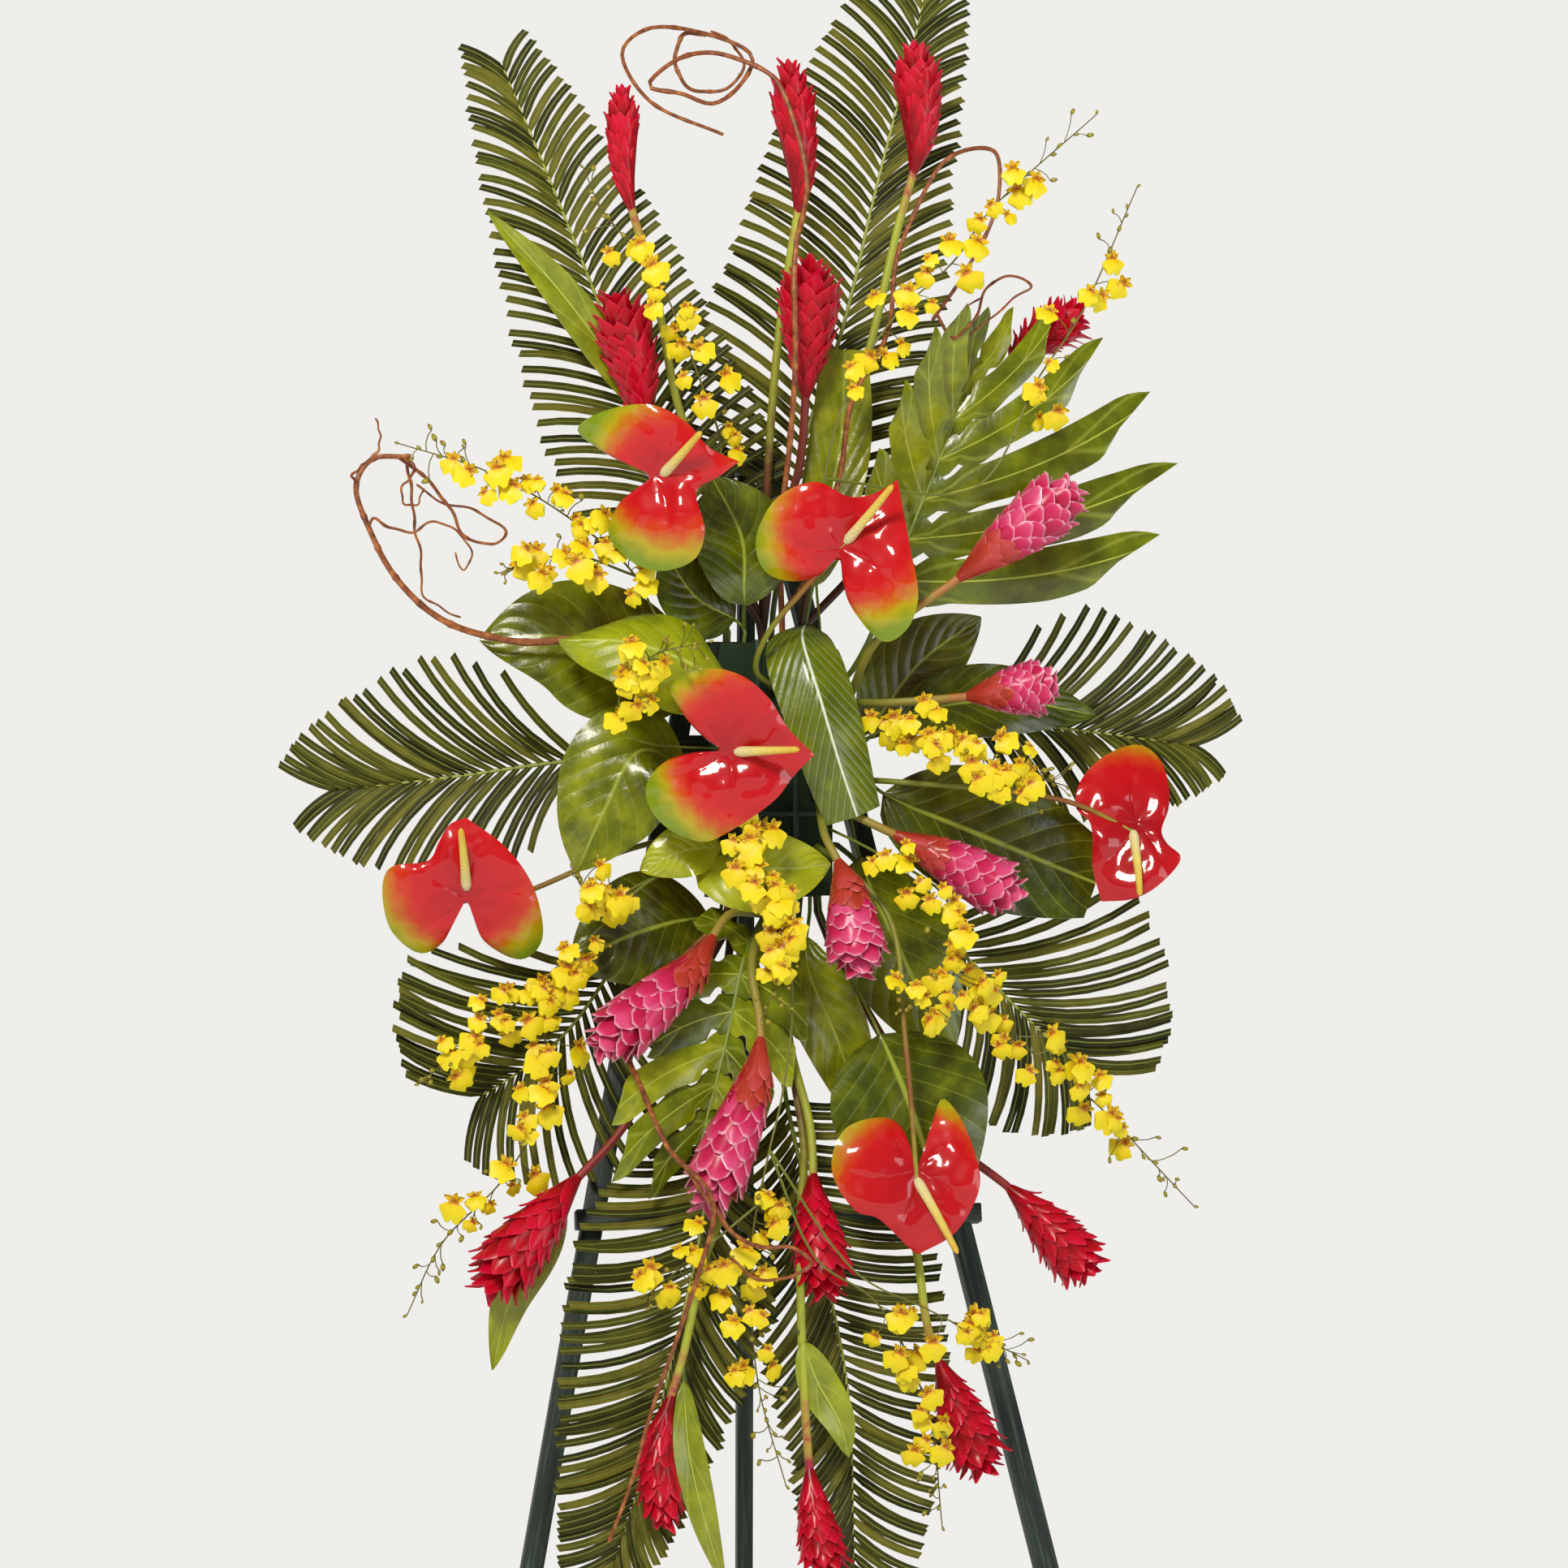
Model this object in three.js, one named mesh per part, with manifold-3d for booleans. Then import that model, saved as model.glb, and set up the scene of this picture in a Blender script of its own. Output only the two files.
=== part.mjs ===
import * as THREE from 'three';
import Module from 'manifold-3d';
import { mergeVertices } from 'three/addons/utils/BufferGeometryUtils.js';

// Standing funeral spray: tropical flowers and cut foliage in a foam cage on a wooden easel.
// Millimetres, +Z up, the flowers face -Y.

// Easel sizes
const APEX_HEIGHT = 1480;
const FRONT_TOP_X = 19;
const FRONT_FOOT_X = 334;
const FRONT_FOOT_Y = -350;
const REAR_FOOT_X = 33;
const REAR_FOOT_Y = 210;
const FRONT_STICK = 20;
const REAR_WIDTH = 16;
const REAR_DEPTH = 14;
const HINGE_HEIGHT = 1462;
const BOLT_RADIUS = 3;
const CROSSBAR = 18;
const LOWER_BAR_HEIGHT = 745;
const LOWER_BAR_LENGTH = 388;
const UPPER_BAR_HEIGHT = 1190;
const UPPER_BAR_LENGTH = 200;
const GAP = 0.3;

// Foam block and its cage, front distances measured from the easel's apex towards -Y
const FOAM_HALF = 54;
const FOAM_BACK = 102.1;
const FOAM_FRONT = 178;
const FOAM_LOW = 1052;
const FOAM_HIGH = 1292;
const CAGE_WALL = 2.5;

// The layout is given as seen by a viewer standing a little to the left of the front:
// right and up on the plane through the easel's axis, and the distance in front of the apex.
const VIEW_TURN = THREE.MathUtils.degToRad(10);
const VIEW_DISTANCE = 4500;
const VIEW_CENTRE = { right: 38, up: 1158 };

// Moves the whole spray so that its origin lies under the middle of its box
const SHIFT = new THREE.Vector3(-7, 71.6, 0);

const COLOURS = {
  stain: 0x1f2c22, bolt: 0x9aa0a4, rubber: 0x1b1b1b, cage: 0x2f5a35, foam: 0x3f6b3a,
  frond: 0x2c3a1c, leaf: 0x3d5c1f, brightLeaf: 0x7f9a26, spathe: 0xc4202c,
  redGinger: 0xc2123c, pinkGinger: 0xd8587f, orchid: 0xf2cf1c, vine: 0x9a5a2c,
};

const wasm = await Module();
wasm.setup();

const group = new THREE.Group();

function v(x, y, z) {
  return new THREE.Vector3(x, y, z);
}

// A point of the layout, put back from the viewer's picture plane to its real place.
function seen(right, up, front) {
  const towards = (front - right * Math.sin(VIEW_TURN)) / Math.cos(VIEW_TURN);
  const shrink = 1 - towards / VIEW_DISTANCE;
  const r = VIEW_CENTRE.right + (right - VIEW_CENTRE.right) * shrink;
  const z = VIEW_CENTRE.up + (up - VIEW_CENTRE.up) * shrink;
  return v(r / Math.cos(VIEW_TURN) - front * Math.tan(VIEW_TURN), -front, z);
}

function seenAll(list) {
  return list.map((p) => seen(...p));
}

// Closed skin from points and triangles, turned outwards if it came inside out.
function skin(points, triangles) {
  let volume = 0;
  for (const [a, b, c] of triangles) {
    volume += points[a].dot(points[b].clone().cross(points[c]));
  }
  const outward = volume < 0 ? triangles.map(([a, b, c]) => [a, c, b]) : triangles;
  return new wasm.Manifold(new wasm.Mesh({
    numProp: 3,
    vertProperties: new Float32Array(points.flatMap((p) => p.toArray())),
    triVerts: new Uint32Array(outward.flat()),
  }));
}

function solidOf(geometry) {
  geometry.deleteAttribute('normal');
  geometry.deleteAttribute('uv');
  const merged = mergeVertices(geometry, 1e-4);
  return new wasm.Manifold(new wasm.Mesh({
    numProp: 3,
    vertProperties: merged.attributes.position.array,
    triVerts: new Uint32Array(merged.index.array),
  }));
}

// The tiny splits that a union leaves along its seams are taken out again.
const SEAM = 0.15;

function fuse(solids) {
  return wasm.Manifold.union(solids).simplify(SEAM);
}

// Skin over a row of rings with equal counts, each end a flat cap or, for a single point, a tip.
function loft(rings) {
  const points = rings.flat();
  const starts = [];
  let total = 0;
  for (const ring of rings) {
    starts.push(total);
    total += ring.length;
  }
  const triangles = [];
  for (let i = 0; i + 1 < rings.length; i++) {
    const n = Math.max(rings[i].length, rings[i + 1].length);
    for (let j = 0; j < n; j++) {
      const k = (j + 1) % n;
      const a = starts[i] + (rings[i].length > 1 ? j : 0);
      const b = starts[i] + (rings[i].length > 1 ? k : 0);
      const c = starts[i + 1] + (rings[i + 1].length > 1 ? k : 0);
      const d = starts[i + 1] + (rings[i + 1].length > 1 ? j : 0);
      if (a !== b) triangles.push([a, b, c]);
      if (c !== d) triangles.push([a, c, d]);
    }
  }
  const first = rings[0].length;
  const last = rings[rings.length - 1].length;
  for (let j = 1; j + 1 < first; j++) triangles.push([0, j + 1, j]);
  const end = starts[rings.length - 1];
  for (let j = 1; j + 1 < last; j++) triangles.push([end, end + j, end + j + 1]);
  return skin(points, triangles);
}

// Direction of `wanted` made square to the unit vector `along`.
function square(wanted, along) {
  return wanted.clone().addScaledVector(along, -wanted.dot(along)).normalize();
}

function ring(centre, a, b, radius, sides) {
  const points = [];
  for (let j = 0; j < sides; j++) {
    const turn = (2 * Math.PI * j) / sides;
    points.push(centre.clone().addScaledVector(a, radius * Math.cos(turn))
      .addScaledVector(b, radius * Math.sin(turn)));
  }
  return points;
}

// Round stem along a curve with a ring at each stop; the section is carried without twist.
function tube(curve, stops, radius, sides) {
  const last = stops[stops.length - 1];
  let normal = v(0.3, -1, 0.2);
  return loft(stops.map((t) => {
    const tangent = curve.getTangentAt(t);
    normal = square(normal, tangent);
    const side = tangent.clone().cross(normal);
    return ring(curve.getPointAt(t), normal, side, radius(t / last), sides);
  }));
}

function curveThrough(points) {
  const curve = new THREE.CatmullRomCurve3(points, false, 'centripetal');
  curve.arcLengthDivisions = 400;
  return curve;
}

// Where a stem stands in the foam: deep inside, at the mouth of its hole, just outside it.
const ROOT_DEPTH = 30;
const COLLAR = 14;

function rooted(face, a, b) {
  const depths = [-ROOT_DEPTH, 0, COLLAR];
  if (face === 'top') return depths.map((h) => v(a, -b, FOAM_HIGH + h));
  if (face === 'bottom') return depths.map((h) => v(a, -b, FOAM_LOW - h));
  if (face === 'left') return depths.map((h) => v(-FOAM_HALF - h, -b, a));
  if (face === 'right') return depths.map((h) => v(FOAM_HALF + h, -b, a));
  return depths.map((h) => v(a, -FOAM_FRONT - h, b));
}

// Share of a rooted curve's length at which it leaves its collar.
function collarOf(curve) {
  return (ROOT_DEPTH + COLLAR) / curve.getLength();
}

// Stops up to `to` in even steps; a rooted stem is straight up to its collar.
function evenStops(curve, to, steps) {
  const first = curve.rooted ? collarOf(curve) : 0;
  const stops = Array.from({ length: steps + 1 }, (_, i) => (
    Math.max(0, to - ((to - first) * (steps - i)) / steps)));
  return curve.rooted ? [0, ...stops] : stops;
}

const holes = [];

function stemCurve(root, places, holeRadius) {
  const start = rooted(...root);
  holes.push({ start, radius: holeRadius });
  const curve = curveThrough([...start, ...seenAll(places)]);
  curve.rooted = true;
  return curve;
}

// Thin blade over a row of stations, each with its place, directions, half width, fold and
// thickness: both faces are split alike, and the rim is closed.
function sheet(stations, columns) {
  const points = [];
  const under = [];
  const triangles = [];
  const count = stations.length * (columns + 1);
  for (const { place, normal, side, half, fold, thick } of stations) {
    for (let j = 0; j <= columns; j++) {
      const reach = half * ((2 * j) / columns - 1);
      const middle = place.clone().addScaledVector(side, reach)
        .addScaledVector(normal, Math.abs(reach) * fold);
      points.push(middle.clone().addScaledVector(normal, thick / 2));
      under.push(middle.clone().addScaledVector(normal, -thick / 2));
    }
  }
  points.push(...under);
  const rows = stations.length - 1;
  const id = (i, j) => i * (columns + 1) + j;
  for (let i = 0; i < rows; i++) {
    for (let j = 0; j < columns; j++) {
      const [a, b, c, d] = [id(i, j), id(i, j + 1), id(i + 1, j + 1), id(i + 1, j)];
      triangles.push([a, b, c], [a, c, d]);
      triangles.push([count + a, count + c, count + b], [count + a, count + d, count + c]);
    }
  }
  const rim = [];
  for (let j = 0; j < columns; j++) rim.push(id(0, j));
  for (let i = 0; i < rows; i++) rim.push(id(i, columns));
  for (let j = columns; j > 0; j--) rim.push(id(rows, j));
  for (let i = rows; i > 0; i--) rim.push(id(i, 0));
  rim.forEach((a, k) => {
    const b = rim[(k + 1) % rim.length];
    triangles.push([a, count + b, b], [a, count + a, count + b]);
  });
  return skin(points, triangles);
}

// Places and directions along a curve. From `bare` on the upper side looks towards `face`;
// the stem before it carries that direction back to its root without twist.
function stationsAlong(curve, stops, bare, face) {
  const places = stops.map((t) => ({ t, place: curve.getPointAt(t), tangent: curve.getTangentAt(t) }));
  let normal = face;
  for (let i = places.length - 1; i >= 0; i--) {
    normal = square(places[i].t >= bare - 1e-6 ? face : normal, places[i].tangent);
    places[i].normal = normal;
    places[i].side = places[i].tangent.clone().cross(normal);
  }
  return places;
}

// Plain leaf: a squarish stem that widens into a folded blade.
const LEAF_THICK = 1.2;
const LEAF_TIP = 0.05;
const LEAF_STEM = 2;
const LEAF_HOLE = 3.1;
const LEAF_ROWS = 4;
const LEAF_COLUMNS = 2;
const LEAF_STEM_STEPS = 3;

// blunt is 0 for a pointed tip and 1 for one cut straight across
function leafOutline(s, fullness, blunt) {
  const width = Math.sin(Math.PI * Math.pow(s * (1 - 0.5 * blunt), fullness)) ** 0.75;
  return Math.max(LEAF_TIP, width);
}

function leaf(curve, { bare, half, face, fold, full, blunt = 0 }, stemSteps) {
  const stops = evenStops(curve, bare, stemSteps);
  const stemCount = stops.length;
  for (let i = LEAF_ROWS - 1; i >= 0; i--) stops.push(1 - ((1 - bare) * i) / LEAF_ROWS);
  const stations = stationsAlong(curve, stops, bare, face);
  stations.forEach((station, i) => {
    const s = (station.t - bare) / (1 - bare);
    const blade = i >= stemCount;
    station.half = blade ? half * leafOutline(s, full, blunt) : LEAF_STEM;
    station.fold = blade ? fold : 0;
    station.thick = blade ? LEAF_THICK : 2 * LEAF_STEM;
  });
  return sheet(stations, LEAF_COLUMNS);
}

// A comb is a blade cut to near its rib: a thick strip along the rib, with leaflets or lobes
// that share their root corners with their neighbours.
const COMB_STEM_STEPS = 3;

function comb({
  curve, from, count, face, strip, stripThick, sweep, reach, lift, lobe, tipThick, stemThick,
}) {
  const points = [];
  const triangles = [];
  const add = (p) => points.push(p) - 1;
  const quad = (a, b, c, d) => triangles.push([a, b, c], [a, c, d]);
  const section = ({ place, normal, side }, half, thick) => (
    [[-1, 1], [1, 1], [1, -1], [-1, -1]].map(([a, b]) => add(
      place.clone().addScaledVector(side, a * half).addScaledVector(normal, (b * thick) / 2))));
  const stem = stationsAlong(curve, evenStops(curve, from, COMB_STEM_STEPS), from, face);
  let last = section(stem[0], stemThick, 2 * stemThick);
  quad(last[3], last[2], last[1], last[0]);
  for (let i = 1; i < stem.length; i++) {
    const atBlade = i === stem.length - 1;
    const next = section(stem[i], atBlade ? strip(0) : stemThick, atBlade ? stripThick : 2 * stemThick);
    for (let j = 0; j < 4; j++) {
      quad(last[j], last[(j + 1) % 4], next[(j + 1) % 4], next[j]);
    }
    last = next;
  }
  for (let i = 0; i < count; i++) {
    const s = (i + 0.5) / count;
    const stops = [from + (1 - from) * s, 1 - ((1 - from) * (count - 1 - i)) / count];
    const [middle, end] = stationsAlong(curve, stops, 0, face);
    const next = section(end, strip((i + 1) / count), stripThick);
    quad(last[0], last[1], next[1], next[0]);
    quad(last[2], last[3], next[3], next[2]);
    const { place, tangent, normal, side } = middle;
    for (const hand of [-1, 1]) {
      const [top0, top1] = hand < 0 ? [last[0], next[0]] : [last[1], next[1]];
      const [low0, low1] = hand < 0 ? [last[3], next[3]] : [last[2], next[2]];
      const angle = sweep(s, hand);
      const across = side.clone().multiplyScalar(hand);
      const out = across.clone().multiplyScalar(Math.cos(angle)).addScaledVector(tangent, Math.sin(angle));
      const wide = tangent.clone().multiplyScalar(Math.cos(angle)).addScaledVector(across, -Math.sin(angle));
      const rootPlace = place.clone().addScaledVector(across, strip(s));
      let edge = [top0, top1, low1, low0];
      const length = reach(s, hand);
      for (const { along, width, bend, rise } of lobe(s, hand)) {
        const centre = rootPlace.clone().addScaledVector(out, length * along)
          .addScaledVector(wide, length * bend)
          .addScaledVector(normal, length * (along * lift(s, hand) + rise));
        const corners = [[-1, 1], [1, 1], [1, -1], [-1, -1]].map(([a, b]) => add(
          centre.clone().addScaledVector(wide, (a * width) / 2).addScaledVector(normal, (b * tipThick) / 2)));
        for (let j = 0; j < 4; j++) {
          const k = (j + 1) % 4;
          if (hand > 0) quad(edge[k], edge[j], corners[j], corners[k]);
          else quad(edge[j], edge[k], corners[k], corners[j]);
        }
        edge = corners;
      }
      if (hand > 0) quad(edge[3], edge[2], edge[1], edge[0]);
      else quad(edge[0], edge[1], edge[2], edge[3]);
    }
    last = next;
  }
  quad(last[0], last[1], last[2], last[3]);
  return skin(points, triangles);
}

function keep(name, solid, colour, roughness = 0.6, metalness = 0) {
  const { vertProperties, triVerts } = solid.getMesh();
  const geometry = new THREE.BufferGeometry();
  geometry.setAttribute('position', new THREE.BufferAttribute(vertProperties, 3));
  geometry.setIndex(new THREE.BufferAttribute(triVerts, 1));
  geometry.computeVertexNormals();
  const material = new THREE.MeshStandardMaterial({ color: colour, roughness, metalness });
  const mesh = new THREE.Mesh(geometry, material);
  mesh.name = name;
  mesh.position.copy(SHIFT);
  group.add(mesh);
}

// Easel

const FRONT_LEAN = Math.atan(-FRONT_FOOT_Y / APEX_HEIGHT);
const FRONT_NORMAL = v(0, -Math.cos(FRONT_LEAN), Math.sin(FRONT_LEAN));

function legPlane(height) {
  return v(0, (FRONT_FOOT_Y * (APEX_HEIGHT - height)) / APEX_HEIGHT, height);
}

// Square stick between two points, its front face square to `facing`.
function stick(start, end, width, depth, facing) {
  const along = end.clone().sub(start);
  const length = along.length();
  along.normalize();
  const front = square(facing, along);
  const side = front.clone().cross(along);
  const geometry = new THREE.BoxGeometry(width, depth, length);
  geometry.applyMatrix4(new THREE.Matrix4().makeBasis(side, front, along)
    .setPosition(start.clone().add(end).multiplyScalar(0.5)));
  return solidOf(geometry);
}

function box(x0, x1, front0, front1, z0, z1) {
  const geometry = new THREE.BoxGeometry(x1 - x0, front1 - front0, z1 - z0);
  geometry.translate((x0 + x1) / 2, -(front0 + front1) / 2, (z0 + z1) / 2);
  return solidOf(geometry);
}

const HINGE = v(0, legPlane(HINGE_HEIGHT).y, HINGE_HEIGHT);

function crossCylinder(radius, x0, x1, sides) {
  const geometry = new THREE.CylinderGeometry(radius, radius, x1 - x0, sides);
  geometry.rotateZ(Math.PI / 2);
  geometry.translate((x0 + x1) / 2, HINGE.y, HINGE.z);
  return solidOf(geometry);
}

const CAP_HEIGHT = 34;
const CAP_FLOOR = 5;
const CAP_WALL = 3;
const REAR_ABOVE_HINGE = 8;

// A leg runs from its top to just above the floor, where its cap holds it.
function footLine(top, foot) {
  const along = foot.clone().sub(top).normalize();
  const lift = (CAP_FLOOR + FRONT_STICK * 0.3) / -along.z;
  return foot.clone().addScaledVector(along, -lift);
}

function footCap(top, foot, width, depth, facing) {
  const along = foot.clone().sub(top).normalize();
  const rim = foot.clone().addScaledVector(along, -CAP_HEIGHT);
  const below = foot.clone().addScaledVector(along, CAP_HEIGHT);
  const grow = 2 * (CAP_WALL + GAP);
  const outer = stick(rim, below, width + grow, depth + grow, facing);
  const end = footLine(top, foot).addScaledVector(along, GAP);
  const pocket = stick(top, end, width + 2 * GAP, depth + 2 * GAP, facing);
  const ground = box(-900, 900, -900, 900, -200, 0);
  return outer.subtract(ground).subtract(pocket);
}

const boltHole = crossCylinder(BOLT_RADIUS + GAP, -60, 60, 12);

for (const [name, hand] of [['left', -1], ['right', 1]]) {
  const top = v(hand * FRONT_TOP_X, 0, APEX_HEIGHT);
  const foot = v(hand * FRONT_FOOT_X, FRONT_FOOT_Y, 0);
  const leg = stick(top, footLine(top, foot), FRONT_STICK, FRONT_STICK, FRONT_NORMAL);
  keep(`front_leg_${name}`, leg.subtract(boltHole), COLOURS.stain);
  keep(`foot_cap_${name}`, footCap(top, foot, FRONT_STICK, FRONT_STICK, FRONT_NORMAL), COLOURS.rubber, 0.8);
}

const rearFoot = v(REAR_FOOT_X, REAR_FOOT_Y, 0);
const rearUp = HINGE.clone().sub(rearFoot).normalize();
const rearTop = HINGE.clone().addScaledVector(rearUp, REAR_ABOVE_HINGE);
const REAR_FACING = v(0, -1, 0);
const rearLeg = stick(rearTop, footLine(rearTop, rearFoot), REAR_WIDTH, REAR_DEPTH, REAR_FACING);
keep('rear_leg', rearLeg.subtract(boltHole), COLOURS.stain);
keep('foot_cap_rear', footCap(rearTop, rearFoot, REAR_WIDTH, REAR_DEPTH, REAR_FACING), COLOURS.rubber, 0.8);

const BOLT_HALF = 35;
const BOLT_HEAD = 6;
keep('hinge_bolt', fuse([
  crossCylinder(BOLT_RADIUS, -BOLT_HALF - 1, BOLT_HALF + 1, 12),
  crossCylinder(BOLT_HEAD, -BOLT_HALF - 5, -BOLT_HALF, 6),
  crossCylinder(BOLT_HEAD, BOLT_HALF, BOLT_HALF + 5, 6),
]), COLOURS.bolt, 0.35, 1);

// Rails lie on the front faces of the front legs.
function rail(height, length, section) {
  const centre = legPlane(height).addScaledVector(FRONT_NORMAL, (FRONT_STICK + section) / 2 + GAP);
  const half = v(length / 2, 0, 0);
  return stick(centre.clone().sub(half), centre.clone().add(half), section, section, FRONT_NORMAL);
}

const HEAD_RAIL = 16;
keep('head_rail', rail(1466, 72, HEAD_RAIL), COLOURS.stain);
keep('upper_crossbar', rail(UPPER_BAR_HEIGHT, UPPER_BAR_LENGTH, CROSSBAR), COLOURS.stain);
keep('lower_crossbar', rail(LOWER_BAR_HEIGHT, LOWER_BAR_LENGTH, CROSSBAR), COLOURS.stain);

// Cage: a tray behind the foam with two hooks over the upper crossbar, and bars round the block.
const GRID_X = 18;
const GRID_Z = [1130, 1215];
const HOOK_X = 30;

function cage() {
  const inner = FOAM_HALF + GAP;
  const outer = inner + CAGE_WALL;
  const back = FOAM_BACK - GAP - 3;
  const rim = 106;
  const low = FOAM_LOW - GAP;
  const high = FOAM_HIGH + GAP;
  const front = FOAM_FRONT + GAP;
  const tray = box(-outer, outer, back, rim, low - CAGE_WALL, high + CAGE_WALL)
    .subtract(box(-inner, inner, FOAM_BACK - GAP, rim + 10, low, high));
  const parts = [tray];
  for (const x of [-GRID_X, GRID_X]) {
    parts.push(box(x - 2.5, x + 2.5, rim - 3, front + CAGE_WALL, high, high + CAGE_WALL));
    parts.push(box(x - 2.5, x + 2.5, rim - 3, front + CAGE_WALL, low - CAGE_WALL, low));
    parts.push(box(x - 2.5, x + 2.5, front, front + CAGE_WALL, low - CAGE_WALL, high + CAGE_WALL));
  }
  for (const z of GRID_Z) {
    parts.push(box(-outer, -inner, rim - 3, front + CAGE_WALL, z - 2.5, z + 2.5));
    parts.push(box(inner, outer, rim - 3, front + CAGE_WALL, z - 2.5, z + 2.5));
    parts.push(box(-outer, outer, front, front + CAGE_WALL, z - 2.5, z + 2.5));
  }
  for (const x of [-HOOK_X, HOOK_X]) {
    parts.push(box(x - 5, x + 5, 69, back + 1, 1206, 1210));
    parts.push(box(x - 5, x + 5, 69, 73, 1188, 1210));
  }
  return fuse(parts);
}
keep('foam_cage', cage(), COLOURS.cage);

// Palm fronds: a stiff rib with narrow leaflets trimmed square

const TOWARDS_VIEWER = v(-Math.sin(VIEW_TURN), -Math.cos(VIEW_TURN), 0);
const LEAFLET_WIDTH = 8;

const FROND_STRIP = 2.6;
const FROND_HOLE = 3.8;
const FROND_THICK = 4;
const LEAFLET_LIFT = 0.16;
const LEAFLET_THICK = 0.9;
const LEAFLET_SPREAD = 26;

// full: leaflet length at the widest on the rib's two sides, short: share of it that the first
// leaflets have, bare: share of the rib with no leaflets, lean: the first ones' slant on each side
const FRONDS = [
  { name: 'frond_top_left', root: ['top', -36, 113], count: 20, full: [125, 112],
    short: 0.8, bare: 0.16, lean: [26, 16],
    rib: [[-62, 1440, 113], [-126, 1586, 106], [-190, 1746, 92], [-240, 1866, 72]] },
  { name: 'frond_top_right', root: ['top', 6, 113], count: 24, full: [146, 124],
    short: 0.8, bare: 0.17, lean: [10, 32],
    lift: 0.06,
    rib: [[54, 1482, 97], [95, 1604, 86], [129, 1746, 84], [170, 1905, 66], [186, 1972, 52]] },
  { name: 'frond_left', root: ['left', 1185, 113], count: 13, full: [138, 152],
    short: 0.7, bare: 0.38, lean: [34, 34],
    rib: [[-120, 1186, 116], [-197, 1178, 116], [-289, 1165, 110], [-405, 1152, 100]] },
  { name: 'frond_lower_left', root: ['left', 1098, 118], count: 12, full: [160, 190],
    short: 0.6, bare: 0.5, lean: [20, 20],
    rib: [[-110, 1010, 140], [-175, 915, 160], [-232, 868, 168], [-262, 850, 170]] },
  { name: 'frond_right', root: ['right', 1190, 113], count: 13, full: [146, 118],
    short: 0.7, bare: 0.44, lean: [32, 32],
    rib: [[146, 1222, 112], [226, 1222, 112], [335, 1210, 106], [440, 1196, 96]] },
  { name: 'frond_lower_right', root: ['right', 1100, 118], count: 13, full: [182, 146],
    short: 0.6, bare: 0.44,
    lean: [24, 24],
    rib: [[140, 1050, 134], [209, 995, 146], [287, 918, 152], [331, 878, 154]] },
  { name: 'frond_bottom_left', root: ['bottom', -34, 116], count: 17, full: [112, 132],
    short: 0.6, bare: 0.4,
    lean: [40, 16],
    rib: [[-24, 900, 172], [-44, 718, 240], [-60, 642, 254], [-98, 490, 276], [-134, 370, 298]] },
  { name: 'frond_bottom_right', root: ['bottom', 34, 116], count: 17, full: [118, 118],
    short: 0.6, bare: 0.32,
    lean: [10, 34],
    rib: [[34, 900, 156], [66, 730, 216], [100, 566, 240], [106, 403, 268], [107, 335, 284]] },
];

function frondReach(s, full, short) {
  const rise = Math.min(1, short + 2.2 * s);
  const fall = 1 - 0.62 * Math.pow(s, 2.2);
  return full * rise * fall;
}

for (const { name, root, count, full, short, bare, lean, lift = LEAFLET_LIFT, rib } of FRONDS) {
  const curve = stemCurve(root, rib, FROND_HOLE);
  keep(name, comb({
    curve, count, face: v(0, -1, 0), from: bare,
    strip: () => FROND_STRIP,
    stripThick: FROND_THICK,
    sweep: (s, hand) => THREE.MathUtils.degToRad(lean[hand < 0 ? 0 : 1] + LEAFLET_SPREAD * s),
    reach: (s, hand) => frondReach(s, full[hand < 0 ? 0 : 1], short),
    lift: () => lift,
    lobe: () => [{ along: 1, width: LEAFLET_WIDTH, bend: 0, rise: 0 }],
    tipThick: LEAFLET_THICK,
    stemThick: FROND_STRIP,
  }), COLOURS.frond);
}

// Split leaves: broad lobes cut two thirds of the way to the midrib

// reach: each lobe's length from the leaf's base to its tip, on the midrib's two sides;
// lean and spread: the lobes' slant towards the tip at the base, and what is added to it
const SPLIT_LEAVES = [
  { name: 'split_leaf_upper_right', root: ['right', 1254, 140], bare: 0.36, strip: 34, width: 56,
    reach: [[30, 46, 60, 70, 64, 40], [205, 205, 182, 140, 104, 56]], lift: [0.6, 0.08],
    lean: 12, spread: 58,
    rib: [[120, 1296, 168], [150, 1376, 178], [190, 1475, 172], [226, 1575, 158]] },
  { name: 'split_leaf_lower_left', root: ['bottom', -6, 152], bare: 0.3, strip: 34, width: 46,
    reach: [[36, 46, 46, 40, 34, 26], [30, 34, 46, 86, 90, 60]], lift: [0.05, 0.1], lean: 0, spread: 58,
    rib: [[0, 992, 212], [-20, 900, 232], [-44, 806, 244]] },
];
const LOBE_THICK = 1.4;
const SPLIT_THICK = 1.6;
const SPLIT_STEM = 3.2;
const SPLIT_HOLE = 4.6;

for (const { name, root, bare, strip, width, reach, lift, lean, spread, rib } of SPLIT_LEAVES) {
  const curve = stemCurve(root, rib, SPLIT_HOLE);
  const count = reach[0].length;
  keep(name, comb({
    curve, count, face: TOWARDS_VIEWER, from: bare,
    strip: (s) => strip * Math.sin(Math.PI * (0.16 + 0.8 * s)) ** 0.6,
    stripThick: SPLIT_THICK,
    sweep: (s) => THREE.MathUtils.degToRad(lean + spread * s),
    reach: (s, hand) => reach[hand < 0 ? 0 : 1][Math.floor(s * count)],
    lift: (s, hand) => lift[hand < 0 ? 0 : 1],
    lobe: () => [
      { along: 0.45, width: 0.9 * width, bend: 0.01, rise: 0.02 },
      { along: 0.88, width, bend: 0.05, rise: 0.0 },
      { along: 1, width: 0.5 * width, bend: 0.1, rise: -0.03 },
    ],
    tipThick: LOBE_THICK,
    stemThick: SPLIT_STEM,
  }), COLOURS.leaf);
}

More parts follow.
